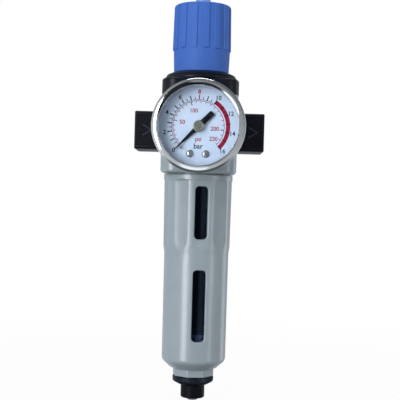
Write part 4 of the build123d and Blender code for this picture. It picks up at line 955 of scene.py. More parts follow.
@dataclass(frozen=True)
class Grooves:
    """Grooves round the upright axis, with lengths in millimetres and angles in radians.

    They run from low to high, fade out over the runs at their ends, and leave what lies inside the inner
    radius as it is. The phase is the place of one groove, from the front towards the right.
    """

    count: int
    half_angle: float
    depth: float
    low: float
    high: float
    low_run: float
    high_run: float
    shoulder: float
    inner: float
    phase: float = 0.0
    floor: float = 0.0
    floor_slope: float = 0.0

    def cut_into(self, piece: Object, material: Material) -> Object:
        """Grooves a piece.

        Args:
            piece: The object.
            material: Its material.

        Returns:
            The object.
        """
        lengths = ("depth", "low", "high", "low_run", "high_run", "inner", "floor")
        sizes = asdict(self)
        sizes |= {name: sizes[name] * MM for name in lengths}
        return grown(piece, radial_grooves(), material=material, **sizes)


# ---------------------------------------------------------------- knob, ring
@dataclass
class KnobAssembly:
    """The pull-to-turn knob, and the button in its crown."""

    palette: Palette
    skirt_foot_r: float = 14.75
    skirt_top_r: float = 15.15
    skirt_h: float = 12.1
    rib_foot_r: float = 15.7
    rib_top_r: float = 15.25
    crown_round: float = 1.5
    groove_half_width: float = 1.75
    groove_run: float = 0.3
    rib_count: int = 15
    rib_start: float = 8.7
    bore_r: float = 13.75
    bore_top: float = 53.9
    socket_r: float = 4.65
    socket_top: float = 60.8
    pocket_r: float = 4.0
    pocket_floor: float = 61.75
    sides_per_rib: int = 30
    button_crown: float = 0.35
    button_round: float = 0.9

    def build_knob(self) -> Object:
        """Turns the knob and grooves its grip."""
        _, low, high = size_of(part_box("adjusting_knob"))
        rib_foot = low + self.skirt_h
        corners = [
            (0, self.pocket_floor, 0),
            (self.pocket_r, self.pocket_floor, 0),
            (self.pocket_r, high, 0.3),
            (self.rib_top_r, high, self.crown_round),
            (self.rib_foot_r, rib_foot, 0.12),
            (self.skirt_top_r, rib_foot - 0.12, 0.05),
            (self.skirt_foot_r, low, 0.5),
            (self.bore_r, low, 0.3),
            (self.bore_r, self.bore_top, 0.5),
            (self.socket_r, self.bore_top, 0),
            (self.socket_r, self.socket_top, 0),
            (0, self.socket_top, 0),
        ]
        knob = turned("adjusting_knob_grip", corners, self.rib_count * self.sides_per_rib, spacing=2.5)
        slope = (self.rib_top_r - self.rib_foot_r) / (high - rib_foot)
        grip = Grooves(
            count=self.rib_count,
            half_angle=self.groove_half_width / self.rib_foot_r,
            depth=self.rib_foot_r - self.skirt_top_r,
            low=rib_foot - 0.5,
            high=high + 1,
            low_run=self.groove_run,
            high_run=self.groove_run,
            shoulder=0.25,
            inner=self.bore_r + 0.3,
            phase=math.radians(self.rib_start + 180 / self.rib_count),
            floor=self.skirt_top_r - 0.5 * slope,
            floor_slope=slope,
        )
        knob = grip.cut_into(knob, self.palette["knob_blue"])
        return stand_for(knob, "adjusting_knob", "knob_blue", self.palette)

    def build_button(self) -> Object:
        """Turns the button, with its crowned top."""
        radius, low, high = size_of(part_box("lock_button"))
        edge = (radius, high - self.button_crown, self.button_round)
        corners = [(0, low, 0), (radius, low, 0.3), edge, (0, high, 0)]
        button = turned("lock_button_cap", corners, 72, spacing=2.0)
        return stand_for(button, "lock_button", "button_blue", self.palette)

    def build(self) -> None:
        """Makes the knob and its button."""
        self.build_knob()
        self.build_button()


@dataclass
class PanelRing:
    """The round black ring on the neck, with its proud lower rim."""

    palette: Palette
    bore_r: float = 15.05
    top_r: float = 15.95
    rim_h: float = 1.15
    step_in: float = 0.5
    step_h: float = 0.2
    shoulder_in: float = 1.35
    shoulder_drop: float = 1.0
    shoulder_round: float = 1.6

    def build(self) -> Object:
        """Turns the ring."""
        radius, low, high = size_of(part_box("panel_nut"))
        corners = [
            (self.bore_r, low, 0.2),
            (radius, low, 0.35),
            (radius, low + self.rim_h, 0.3),
            (radius - self.step_in, low + self.rim_h + self.step_h, 0.1),
            (radius - self.shoulder_in, high - self.shoulder_drop, self.shoulder_round),
            (self.top_r, high, 0.5),
            (self.bore_r, high, 0.2),
        ]
        ring = turned("panel_ring", corners, 144, closed=True, spacing=2.0)
        return stand_for(ring, "panel_nut", "black_plastic", self.palette)


# ---------------------------------------------------------------- bonnet
@dataclass
class Bonnet:
    """The black square flange, drawn down over the top of the casting, with the spring housing on it."""

    palette: Palette
    corner: float = 8.0
    rim_w: float = 3.5
    top_edge: float = 1.6
    foot_edge: float = 0.9
    skirt: float = 2.6
    skirt_wall: float = 0.23
    neck_r: float = 15.0
    neck_overlap: float = 0.2
    neck_top: float = 31.8
    flange_top: float = 27.7
    cage_r: float = 13.3
    bore_r: float = 10.5
    recess_r: float = 14.5
    recess: float = 2.2
    roof: float = 3.5
    shaft_r: float = 3.55
    screw_at: float = 14.2
    head_r: float = 2.8
    head_foot: float = 24.75
    columns: int = 240

    def square(self, half: float, corner: float, height: float) -> Loop:
        """A level square loop with round corners.

        Args:
            half: From the axis to a side.
            corner: The radius of its corners.
            height: The loop's level.

        Returns:
            Its points, one in each column.
        """
        loop: Loop = []
        reach = half - corner
        for step in range(self.columns):
            angle = 2 * math.pi * step / self.columns
            folded = abs((angle + math.pi / 4) % (math.pi / 2) - math.pi / 4)
            radius = half / math.cos(folded)
            if half * math.tan(folded) > reach:
                off = math.pi / 4 - folded
                middle = reach * math.sqrt(2)
                radius = middle * math.cos(off) + math.sqrt(corner**2 - (middle * math.sin(off)) ** 2)
            loop.append((radius * math.sin(angle), -radius * math.cos(angle), height))
        return loop

    def build_flange(self, half: float, casting_top: float) -> Object:
        """Skins the flange and sinks its four screw heads.

        Args:
            half: From the axis to a side.
            casting_top: The level where the casting ends.

        Returns:
            The flange.
        """
        foot = casting_top - self.skirt
        line = rounded(
            [
                (self.rim_w, self.flange_top, 0),
                (0, self.flange_top, self.top_edge),
                (0, foot, self.foot_edge),
                (self.skirt_wall, foot, 0),
                (self.skirt_wall, casting_top, 0),
            ]
        )
        sides = [self.square(half - inset, self.corner - inset, height) for inset, height in supported(line)]
        inner = self.neck_r - self.neck_overlap
        ends = [circle(inner, height, self.columns) for height in (self.flange_top, casting_top)]
        flange = loft("bonnet_flange", [ends[0], *sides, ends[1]], closed=True)
        cutters = []
        for x in (-self.screw_at, self.screw_at):
            for y in (-self.screw_at, self.screw_at):
                cutters.append(spun(plug(self.head_r, self.head_foot, self.flange_top + 1), 0, (x, y, 0)))
        return cut(flange, cutters)

    def build(self) -> Object:
        """Makes the flange and turns the housing that the knob covers."""
        half, foot, top = size_of(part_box("bonnet"))
        flange = self.build_flange(half, foot)
        corners = [
            (self.bore_r, foot + self.recess, 0),
            (self.recess_r, foot + self.recess, 0),
            (self.recess_r, foot, 0),
            (self.neck_r, foot, 0),
            (self.neck_r, self.neck_top, 0.3),
            (self.cage_r, self.neck_top, 0),
            (self.cage_r, top, 0.5),
            (self.shaft_r, top, 0.2),
            (self.shaft_r, top - self.roof, 0),
            (self.bore_r, top - self.roof, 0),
        ]
        cage = turned("cage", corners, 120, closed=True, spacing=3.0)
        bonnet = joined("bonnet_moulding", [flange, cage])
        return stand_for(bonnet, "bonnet", "black_plastic", self.palette)


# ---------------------------------------------------------------- bowl guard
@dataclass
class Window:
    """One sight window in the guard: a slot with round corners and a softened rim."""

    low: float
    high: float
    width: float = 6.8
    corner: float = 2.0
    rim: float = 0.8
    arc_steps: int = 6
    rim_steps: int = 5
    side_steps: int = 30
    end_steps: int = 3

    def outline(self, offset: float) -> list[Flat]:
        """The window's edge, moved outwards by an offset.

        Args:
            offset: How far it is moved.

        Returns:
            Its points, as many at each offset.
        """
        across = self.width / 2 - self.corner
        top, foot = self.high - self.corner, self.low + self.corner
        middles = [(across, top), (-across, top), (-across, foot), (across, foot)]
        reach = self.corner + offset
        line: list[Flat] = []
        for quarter, (x, z) in enumerate(middles):
            for step in range(self.arc_steps + 1):
                angle = math.radians(90 * (quarter + step / self.arc_steps))
                line.append((x + reach * math.cos(angle), z + reach * math.sin(angle)))
            next_x, next_z = middles[(quarter + 1) % 4]
            angle = math.radians(90 * (quarter + 1))
            start, end = line[-1], (next_x + reach * math.cos(angle), next_z + reach * math.sin(angle))
            steps = self.side_steps if quarter % 2 else self.end_steps
            shares = [step / steps for step in range(1, steps)]
            line += [(start[0] + (end[0] - start[0]) * s, start[1] + (end[1] - start[1]) * s) for s in shares]
        return line

    def outside(self, x: float, z: float) -> float:
        """How far a point lies outside the window's edge."""
        beyond_x = abs(x) - (self.width / 2 - self.corner)
        beyond_z = abs(z - (self.low + self.high) / 2) - ((self.high - self.low) / 2 - self.corner)
        far = math.hypot(max(beyond_x, 0), max(beyond_z, 0))
        return far + min(max(beyond_x, beyond_z), 0) - self.corner


@dataclass
class BowlGuard:
    """The metal guard: band, fluted grip, plain tube, shoulder and eight-sided neck."""

    palette: Palette
    turned: float = 7.5
    columns: int = 160
    row_spacing: float = 0.9
    patch_columns: int = 8
    patch_margin: float = 2.4
    patch_gap: float = 0.3
    bore_r: float = 15.1
    neck_r: float = 16.5
    shoulder: float = -22.5
    band_r: float = 18.5
    band_h: float = 2.9
    grip_r: float = 18.2
    grip_foot_r: float = 17.85
    grip_foot: float = -60.5
    tube_r: float = 17.3
    tube_top: float = -64.5
    tube_foot_r: float = 17.1
    tube_foot: float = -121.8
    tube_round: float = 3.5
    cone_r: float = 12.8
    cone_foot: float = -125.7
    cone_seam: Flat = (0.9, 0.15)
    octagon_r: float = 10.58
    octagon_soft: float = 46.0
    floor: float = -122.0
    floor_round: float = 3.5
    boss_r: float = 8.0
    flute_count: int = 10
    flute_half_width: float = 4.3
    flute_depth: float = 0.8
    flute_top: float = -25.0
    flute_top_run: float = 1.6
    flute_foot: float = -62.6
    flute_foot_run: float = 6.5
    windows: tuple[Window, ...] = (Window(-56.6, -28.9), Window(-110.4, -72.9))

    def outer_line(self) -> list[Flat]:
        """The outside from the neck's top down to the foot of the cone, as radius and height."""
        _, _, top = size_of(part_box("bowl_guard"))
        line = rounded(
            [
                (self.bore_r, top, 0),
                (self.neck_r, top, 0.3),
                (self.neck_r, self.shoulder, 0.1),
                (self.band_r, self.shoulder, 0.6),
                (self.band_r, self.shoulder - self.band_h, 0.45),
                (self.grip_r, self.shoulder - self.band_h - 0.45, 0.5),
                (self.grip_foot_r, self.grip_foot, 6.0),
                (self.tube_r, self.tube_top, 6.0),
                (self.tube_foot_r, self.tube_foot, self.tube_round),
                (self.cone_r, self.cone_foot, 0.5),
                (self.cone_r - self.cone_seam[0], self.cone_foot - self.cone_seam[1], 0),
            ]
        )
        return supported(line, near=0.15, spacing=self.row_spacing)

    def inner_line(self) -> list[Flat]:
        """The inside from the boss hole's foot up to the bore's top."""
        _, low, high = size_of(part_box("bowl_guard"))
        line = rounded(
            [
                (self.boss_r, low, 0.3),
                (self.boss_r, self.floor, 0.3),
                (self.bore_r, self.floor, self.floor_round),
                (self.bore_r, high - 0.3, 0),
            ]
        )
        return supported(line, near=0.15, spacing=self.row_spacing)

    def octagon(self, size: float, height: float) -> Loop:
        """An eight-sided loop with softened corners, with a flat a little right of the front.

        Args:
            size: From the axis to a flat.
            height: The loop's level.

        Returns:
            Its points, one in each column.
        """
        loop: Loop = []
        for step in range(self.columns):
            angle = 2 * math.pi * step / self.columns
            faces = [max(0.0, math.cos(angle - math.radians(45 * side))) for side in range(8)]
            radius = size / sum(share**self.octagon_soft for share in faces) ** (1 / self.octagon_soft)
            loop.append((radius * math.sin(angle), -radius * math.cos(angle), height))
        return loop

    def build(self) -> Object:
        """Skins the walls, opens the windows, flutes the grip, paints shade on the bore and turns the whole
        to its place.
        """
        outer = self.outer_line()
        inner = self.inner_line()
        low = inner[0][1]
        soft = [(0.25, self.cone_foot - 0.3), (0.0, self.cone_foot - 0.6)]
        soft += [(0.0, low + 0.5), (-0.1, low + 0.15), (-0.35, low)]
        neck = [self.octagon(self.octagon_r + extra, height) for extra, height in soft]
        loops = [circle(*place, self.columns) for place in outer] + neck
        loops += [circle(*place, self.columns) for place in inner]
        points = [point for loop in loops for point in loop]
        rows = [[self.columns * index + step for step in range(self.columns)] for index in range(len(loops))]
        outer_rows = range(len(outer))
        inner_rows = range(len(outer) + len(neck), len(loops))
        faces: Faces = []
        skipped: set[tuple[int, int]] = set()
        for window in self.windows:
            rims = self.window_rims(window, outer, points)
            for wall, rim, margin in ((outer_rows, rims[0], window.rim), (inner_rows, rims[-1], 0.0)):
                faces += self.patch(window, wall, rows, points, rim, margin, skipped)
            for near, far in zip(rims, rims[1:]):
                faces += strip(near, far)
        for index, (here, there) in enumerate(zip(rows, rows[1:] + rows[:1])):
            faces += [face for step, face in enumerate(strip(here, there)) if (index, step) not in skipped]
        flutes = Grooves(
            count=self.flute_count,
            half_angle=self.flute_half_width / self.grip_r,
            depth=self.flute_depth,
            low=self.flute_foot,
            high=self.flute_top,
            low_run=self.flute_foot_run,
            high_run=self.flute_top_run,
            shoulder=1.0,
            inner=self.neck_r + 0.1,
        )
        guard = flutes.cut_into(new_piece("bowl_guard_shell", points, faces), self.palette["cast_grey"])
        # The bore's faces above the floor get the near-black painted shade of the guard's inside.
        guard.data.materials.append(self.palette["guard_bore_painted_shade"])
        for face in guard.data.polygons:
            within = math.hypot(face.center.x, face.center.y) < (self.bore_r + 0.2) * MM
            if within and face.center.z > self.floor * MM:
                face.material_index = 1
        return stand_for(spun(guard, self.turned), "bowl_guard", "cast_grey", self.palette)

    def window_rims(self, window: Window, outer: Sequence[Flat], points: Loop) -> list[list[int]]:
        """Adds the loops that lead from the outside into a window and through the wall.

        Args:
            window: The window.
            outer: The outside line, for the wall's radius at each height.
            points: The guard's points, which get the new ones.

        Returns:
            For each loop the numbers of its points, from the outside to the bore.
        """
        heights = [height for _, height in reversed(outer)]
        radii = [radius for radius, _ in reversed(outer)]
        rims = []
        for step in range(window.rim_steps + 2):
            angle = min(step / window.rim_steps, 1.0) * math.pi / 2
            loop = window.outline(window.rim * (1 - math.sin(angle)))
            depth = window.rim * (1 - math.cos(angle))
            start = len(points)
            for x, z in loop:
                through = step > window.rim_steps
                radius = self.bore_r if through else float(np.interp(z, heights, radii)) - depth
                points.append((x, -math.sqrt(radius * radius - x * x), z))
            rims.append(list(range(start, len(points))))
        return rims

    def patch(
        self,
        window: Window,
        wall: range,
        rows: Sequence[Sequence[int]],
        points: Loop,
        rim: Sequence[int],
        margin: float,
        skipped: set[tuple[int, int]],
    ) -> Faces:
        """Fills the wall round a window, between the wall's own grid and the window's rim.

        Args:
            window: The window.
            wall: The numbers of the wall's rows.
            rows: The point numbers of all rows.
            points: The guard's points.
            rim: The numbers of the rim's points.
            margin: How far the rim lies outside the window's edge.
            skipped: The grid's faces that the patch replaces, which are added to.

        Returns:
            The patch's triangles.
        """
        low, high = window.low - self.patch_margin, window.high + self.patch_margin
        inside = [index for index in wall if low < points[rows[index][0]][2] < high]
        numbers: list[int] = []
        for index in inside:
            for step in range(-self.patch_columns, self.patch_columns + 1):
                x, _, z = points[rows[index][step]]
                if window.outside(x, z) > margin + self.patch_gap:
                    numbers.append(rows[index][step])
        replaced = [step % self.columns for step in range(-self.patch_columns, self.patch_columns)]
        skipped.update((index, step) for index in inside[:-1] for step in replaced)
        held = len(numbers)
        numbers += rim
        places = [points[number] for number in numbers]
        flat = [Vector((math.atan2(x, -y) * self.tube_r, z)) for x, y, z in places]
        edges = [(held + step, held + (step + 1) % len(rim)) for step in range(len(rim))]
        found = delaunay_2d_cdt(flat, edges, [], 0, 1e-6)
        origin = [sources[0] for sources in found[3]]
        faces = [[origin[corner] for corner in face] for face in found[2]]
        return [tuple(numbers[corner] for corner in face) for face in faces if min(face) < held]


# ---------------------------------------------------------------- drain
@dataclass
class Drain:
    """The knurled collar below the guard."""

    palette: Palette
    knurl_h: float = 2.7
    foot_r: float = 7.2
    clip_r: float = 9.3
    boss_r: float = 7.75
    stem_r: float = 6.5
    clip_floor: float = -132.4
    boss_floor: float = -134.3
    groove_count: int = 50
    groove_share: float = 0.6
    groove_depth: float = 0.45
    groove_foot: float = 0.9
    groove_end: float = 0.3
    sides_per_groove: int = 8

    def build(self) -> Object:
        """Turns the collar and knurls its rim."""
        radius, low, high = size_of(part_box("drain_collar"))
        corners = [
            (self.clip_r, high, 0.2),
            (radius, high, 0.35),
            (radius, high - self.knurl_h, 1.3),
            (self.foot_r + 0.8, low + 0.5, 0.8),
            (self.foot_r - 0.2, low, 0.2),
            (self.stem_r, low, 0.1),
            (self.stem_r, self.boss_floor, 0),
            (self.boss_r, self.boss_floor, 0),
            (self.boss_r, self.clip_floor, 0),
            (self.clip_r, self.clip_floor, 0),
        ]
        sides = self.groove_count * self.sides_per_groove
        collar = turned("drain_collar_knurled", corners, sides, closed=True, spacing=0.8)
        knurl = Grooves(
            count=self.groove_count,
            half_angle=self.groove_share * math.pi / self.groove_count,
            depth=self.groove_depth,
            low=low + self.groove_foot,
            high=high + self.groove_end,
            low_run=self.groove_foot,
            high_run=self.groove_end,
            shoulder=0.6,
            inner=self.foot_r + 0.3,
        )
        collar = knurl.cut_into(collar, self.palette["collar_black"])
        return stand_for(collar, "drain_collar", "collar_black", self.palette)


# ---------------------------------------------------------------- side plates
@dataclass
class SidePlates:
    """The two black connecting plates with their threaded ports.

    The thread's profile is how far each quarter of a pitch reaches from the minor to the major radius.
    """

    palette: Palette
    corner: float = 1.5
    edge: float = 0.5
    border: float = 1.2
    sink: float = 0.25
    least_panel: float = 100.0
    thread_minor_r: float = 5.72
    thread_major_r: float = 6.45
    thread_pitch: float = 1.337
    thread_sides: int = 48
    thread_profile: tuple[float, ...] = (0.0, 0.35, 1.0, 0.65)
    thread_start: float = 0.4
    port_depth: float = 12.0
    mouth_r: float = 6.9
    mouth_foot_r: float = 5.9
    flow_r: float = 4.5
    flow_overlap: float = 1.2
    screw_at: float = 11.0
    head_r: float = 3.6
    head_depth: float = 4.3
    shank_r: float = 2.05
    mark_h: float = 2.5
    mark_w: float = 4.4
    mark_stroke: float = 0.45
    mark_proud: float = 0.13
    mark_shift: float = 0.75

    def blank(self, name: str, low: Vector, high: Vector, side: int) -> Object:
        """A block with rounded edges and a bordered panel in front and behind.

        Args:
            name: The object's name.
            low: Its lowest corner, in metres.
            high: Its highest corner.
            side: -1 on the left, 1 on the right.

        Returns:
            The block.
        """
        work = bmesh.new()
        bmesh.ops.create_cube(work, size=1.0)
        for point in work.verts:
            point.co = Vector([low[i] + (high[i] - low[i]) * (point.co[i] + 0.5) for i in range(3)])
        ends = {edge: [point.co for point in edge.verts] for edge in work.edges}
        along = [edge for edge, (start, end) in ends.items() if abs((start - end).normalized().x) > 0.9]
        bmesh.ops.bevel(work, geom=along, offset=self.corner * MM, segments=5, profile=0.5, affect="EDGES")
        outer = high.x if side > 0 else low.x
        rim = [edge for edge in work.edges if all(abs(v.co.x - outer) < 1e-6 for v in edge.verts)]
        bmesh.ops.bevel(work, geom=rim, offset=self.edge * MM, segments=3, profile=0.5, affect="EDGES")
        level = [face for face in work.faces if abs(face.normal.y) > 0.99]
        panels = [face for face in level if face.calc_area() > self.least_panel * MM * MM]
        bmesh.ops.inset_individual(work, faces=panels, thickness=self.border * MM - self.edge * MM, depth=0)
        bmesh.ops.inset_individual(work, faces=panels, thickness=self.sink * MM, depth=-self.sink * MM)
        mesh = bpy.data.meshes.new(name)
        work.to_mesh(mesh)
        work.free()
        tidy(mesh)
        return linked(name, mesh)

    def thread_plug(self, start: float, length: float) -> Object:
        """The solid screw that cuts a port's thread: a true helix with flat ends.

        Args:
            start: The level where it begins.
            length: How long it is.

        Returns:
            The closed screw, about the upright axis.
        """
        span = len(self.thread_profile)
        count = span * math.ceil(length / self.thread_pitch)
        depth = self.thread_major_r - self.thread_minor_r
        radii = [self.thread_minor_r + share * depth for share in self.thread_profile]
        points: Loop = []
        grid: list[list[int]] = []
        for row in range(count + 1):
            ring = []
            for step in range(self.thread_sides):
                angle = 2 * math.pi * step / self.thread_sides
                height = start + self.thread_pitch * (row / span + step / self.thread_sides)
                ring.append(len(points))
                radius = radii[row % span]
                points.append((radius * math.cos(angle), radius * math.sin(angle), height))
            grid.append(ring)
        ends = []
        for row in range(count - span + 1, count + 1):
            ends.append(len(points))
            points.append((radii[row % span], 0.0, start + self.thread_pitch * (row / span + 1)))
        for row, ring in enumerate(grid):
            ring.append(grid[row + span][0] if row + span <= count else ends[row + span - count - 1])
        faces = [face for low, high in zip(grid, grid[1:]) for face in strip(low, high, round_trip=False)]
        foot = [grid[row][0] for row in range(span - 1, 0, -1)]
        crown = [grid[row][-1] for row in range(count - 1, count - span, -1)]
        for rim, level in ((grid[0] + foot, start - 1.0), (grid[-1] + crown, start + length + 2.5)):
            faces += strip(rim, [len(points)])
            points.append((0.0, 0.0, level))
        return new_piece("thread_plug", points, faces)

    def build_side(self, side: int) -> Object:
        """Makes one plate.

        Args:
            side: -1 on the left, 1 on the right.

        Returns:
            The plate.
        """
        node = "outlet_plate" if side > 0 else "inlet_plate"
        low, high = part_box(node)
        facing = Facing.RIGHT if side > 0 else Facing.LEFT
        back, front = sorted((abs(low.x) / MM, abs(high.x) / MM))
        plate = self.blank(node + "_block", low, high, side)
        port_floor = front - self.port_depth
        mouth = [(0, front - 1), (self.mouth_foot_r, front - 1), (self.mouth_r, front + 0.02)]
        mouth += [(self.mouth_r, front + 1), (0, front + 1)]
        cutters = [
            laid(self.thread_plug(port_floor + self.thread_start, self.port_depth + 1), facing),
            laid(plug(self.flow_r, back - 1, port_floor + self.flow_overlap), facing),
            laid(lathe("cutter", mouth, 64), facing),
        ]
        head_floor = front - self.head_depth
        screw = [(0, back - 1), (self.shank_r, back - 1), (self.shank_r, head_floor)]
        screw += [(self.head_r, head_floor), (self.head_r, front + 1), (0, front + 1)]
        for place in (-self.screw_at, self.screw_at):
            cutters.append(laid(lathe("cutter", screw, 48), facing, (0, place, 0)))
        cut(plate, cutters)
        plate.data.materials.append(self.palette["plate_black"])
        # The second colour is a painted highlight on the slope round the panel.
        plate.data.materials.append(self.palette["painted_edge_highlight"])
        self.wear_border(plate, low, high)
        face = low.y / MM + self.sink
        middle = side * ((back + front) / 2 + self.mark_shift)
        plate = joined(plate.name, [plate, self.arrow(middle, face)])
        return stand_for(plate, node, "plate_black", self.palette)

    def wear_border(self, plate: Object, low: Vector, high: Vector) -> None:
        """Paints a highlight on the slope between border and panel: a lighter colour stands in for the light
        that the slope catches.

        Args:
            plate: The plate.
            low: Its lowest corner, in metres.
            high: Its highest corner.
        """
        for face in plate.data.polygons:
            place, across = face.center, abs(face.normal.x) + abs(face.normal.z)
            slopes = 0.3 < abs(face.normal.y) < 0.95 and across > 0.3
            depth = min(place.y - low.y, high.y - place.y) / MM
            to_edge = min(place.x - low.x, high.x - place.x, place.z - low.z, high.z - place.z) / MM
            if slopes and depth < 1.1 * self.sink and 0.8 * self.border < to_edge < self.border + self.sink:
                face.material_index = 1

    def arrow(self, middle: float, face: float) -> Object:
        """The flow mark: a raised chevron on the panel.

        Args:
            middle: Where it stands along the plate, in millimetres.
            face: The panel's level, as a distance behind the port axis.

        Returns:
            The mark.
        """
        height, stroke = self.mark_h, self.mark_stroke
        tip, tail = middle + self.mark_w / 2, middle - self.mark_w / 2
        outline = [(tail, height), (tip, 0), (tail, -height), (tail + stroke, -height - stroke)]
        outline += [(tip + 2 * stroke, 0), (tail + stroke, height + stroke)]
        mark = slab("mark", outline, -face - 0.1, -face + self.mark_proud)
        # The mark takes the same lighter colour, a painted highlight.
        mark.data.materials.append(self.palette["painted_edge_highlight"])
        return laid(mark, Facing.FORWARD)

    def build(self) -> None:
        """Makes both plates."""
        for side in (-1, 1):
            self.build_side(side)


# ---------------------------------------------------------------- gauge
@dataclass(frozen=True)
class Marks:
    """A row of evenly spaced scale marks: pressures in bar, lengths in millimetres.

    Each mark begins at the radius and runs outwards, or inwards where its length is negative.
    """

    radius: float
    length: float
    width: float
    first: float
    last: float
    step: float = 1.0


@dataclass
class Gauge:
    """The face of the pressure gauge: bezel, window, dial with its scales, hub and screws.

    It is drawn with its axis upright, so that a height is a distance in front of the port axis, and then laid
    forward. The bezel's corners, from crest to lip_edge, are each a radius, a distance behind its front and a
    rounding. Each psi word has its text, its radius and the pressure that it is centred on. The last one
    stands a little before its mark.
    """

    palette: Palette
    dial_hole_r: float = 1.5
    scale_span: float = 270.0
    scale_top: int = 16
    red_from: int = 10
    red_number: int = 8
    scale_r: float = 13.2
    red_band_r: float = 15.5
    number_r: float = 16.9
    number_size: float = 3.1
    psi_r: float = 12.55
    psi_top: int = 230
    psi_per_bar: float = 14.5038
    psi_size: float = 2.9
    psi_words: tuple[tuple[str, float, float], ...] = (
        ("50", 8.3, 50),
        ("100", 8.0, 100),
        ("200", 8.0, 200),
        ("230", 9.6, 227),
    )
    ink: float = 0.03
    condensed: float = 0.95
    thin_weight: float = 0.018
    opening_r: float = 19.5
    lens_seat_r: float = 20.7
    gasket_r: float = 22.05
    gasket_h: float = 0.9
    case_fit_r: float = 21.25
    foot_r: float = 21.95
    roll_r: float = 1.4
    widest_up: float = 3.2
    crest: Corner = (22.35, 0.87, 0.4)
    slope: Corner = (21.75, 0.4, 0.03)
    bulge: Corner = (20.7, 0.14, 12.0)
    lip: Corner = (19.85, 0.0, 0.1)
    lip_edge: Corner = (19.65, 0.0, 0.12)
    screw_at: Flat = (3.85, -13.4)
    screw_turns: Flat = (25.0, -40.0)
    screw_head_r: float = 1.85
    screw_shank_r: float = 0.8
    slot_half_length: float = 2.2
    slot_half_width: float = 0.15
    slot_depth: float = 0.3
    pointer_tip: float = 17.0
    pointer_tail: float = -9.7
    blade_half: float = 1.15
    tail_half: float = 1.4
    tail_corner: float = 0.5

    def put(self, piece: Object, node: str, slot: str, finish: str | None = None) -> Object:
        """Lays a piece forward and lets it stand for its node.

        Args:
            piece: The object, drawn with its axis upright.
            node: The node that it replaces.
            slot: The record's slot that its finish belongs to.
            finish: Its own finish's key, where that differs from its slot's.

        Returns:
            The object.
        """
        return stand_for(laid(piece, Facing.FORWARD), node, slot, self.palette, finish)

    def levels(self, node: str) -> tuple[float, float]:
        """How far in front of the port axis a node begins and ends, in millimetres."""
        low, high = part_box(node)
        return -high.y / MM, -low.y / MM

    def angle(self, bars: float) -> float:
        """The clockwise angle from the dial's top at a pressure, in degrees."""
        return self.scale_span * (bars / self.scale_top - 0.5)

    def build_bezel(self) -> Object:
        """Turns the rolled chrome ring."""
        back, front = self.levels("gauge_bezel")
        radius, _, _ = size_of(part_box("gauge_bezel"))
        lens_front = self.levels("gauge_lens")[1] + 0.05
        seat = self.levels("lens_gasket")[0] + 0.05
        widest = back + self.widest_up
        line = [(self.opening_r, lens_front), (self.lens_seat_r, lens_front), (self.lens_seat_r, seat)]
        line += [(self.gasket_r, seat), (self.gasket_r, seat - self.gasket_h)]
        line += [(self.case_fit_r, seat - self.gasket_h), (self.case_fit_r, back), (self.foot_r, back)]
        line += ellipse_arc((radius - self.roll_r, widest), (self.roll_r, widest - back), -60, 0, 6)
        face = [(radius, widest, 0), (radius, front - 1.6, 0.8)]
        for across, behind, rounding in (self.crest, self.slope, self.bulge, self.lip, self.lip_edge):
            face.append((across, front - behind, rounding))
        face += [(self.opening_r, front - 0.2, 0.15), (self.opening_r, lens_front, 0)]
        line += rounded(face, steps=10)[1:-1]
        bezel = lathe("gauge_bezel_ring", supported(line, closed=True), 200, closed=True)
        return self.put(bezel, "gauge_bezel", "bezel_chrome")

    def build_lens(self) -> Object:
        """Turns the window, with ground edges."""
        back, front = self.levels("gauge_lens")
        radius, _, _ = size_of(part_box("gauge_lens"))
        corners = [(0, back, 0), (radius, back, 0.2), (radius, front, 0.2), (0, front, 0)]
        return self.put(turned("gauge_window", corners, 144), "gauge_lens", "lens_clear")

    def band(self, name: str, inner: float, outer: float, spread: Flat, level: float) -> Object:
        """A printed arc.

        Args:
            name: The object's name.
            inner: Its inner radius.
            outer: Its outer radius.
            spread: The clockwise angles where it begins and ends, in degrees.
            level: The level that it lies on.

        Returns:
            The arc as a thin slab.
        """
        begin, end = spread
        steps = max(6, round(abs(end - begin) / 2))
        angles = [math.radians(begin + (end - begin) * step / steps) for step in range(steps + 1)]
        outline = [(outer * math.sin(a), outer * math.cos(a)) for a in angles]
        outline += [(inner * math.sin(a), inner * math.cos(a)) for a in reversed(angles)]
        points = [(x, y, height) for height in (level, level + self.ink) for x, y in outline]
        total = len(outline)
        faces = strip(range(total), range(total, 2 * total))
        for base in (0, total):
            last = base + total - 1
            faces += [(base + i, base + i + 1, last - 1 - i, last - i) for i in range(steps)]
        return new_piece(name, points, faces)

    def marks(self, row: Marks, level: float, ink: Material) -> Object:
        """Prints a row of scale marks.

        Args:
            row: What the row is like.
            level: The level that the marks lie on.
            ink: Their material.

        Returns:
            The marks as one object.
        """
        start, end = sorted((row.radius, row.radius + row.length))
        half = row.width / 2
        outline = [(-half, start), (half, start), (half, end), (-half, end)]
        mark = slab("marks", outline, level, level + self.ink)
        return grown(
            mark,
            polar_array(),
            count=round((row.last - row.first) / row.step) + 1,
            first_angle=-math.radians(self.angle(row.first)),
            step_angle=-math.radians(self.scale_span * row.step / self.scale_top),
            material=ink,
        )

    def word(self, text: str, size: float, place: Flat, level: float, weight: float = 0.02) -> Object:
        """A printed number or unit.

        Args:
            text: What it says.
            size: The letters' body height.
            place: The middle of the word on the dial.
            level: The level that it lies on.
            weight: How much the strokes are thickened, as a share of the size.

        Returns:
            The word as thin solid letters.
        """
        letters = bpy.data.curves.new("word", "FONT")
        letters.body = text
        letters.align_x = "CENTER"
        letters.align_y = "CENTER"
        letters.extrude = self.ink / size / 2
        letters.offset = weight
        letters.resolution_u = 3
        shape = linked("word", letters)
        mesh = bpy.data.meshes.new_from_object(shape.evaluated_get(bpy.context.evaluated_depsgraph_get()))
        bpy.data.objects.remove(shape)
        tidy(mesh, outward=False)
        shift = Matrix.Translation(Vector((*place, level + self.ink / 2)) * MM)
        mesh.transform(shift @ Matrix.Scale(size * MM, 4) @ Matrix.Scale(self.condensed, 4, (1, 0, 0)))
        return linked("word", mesh)

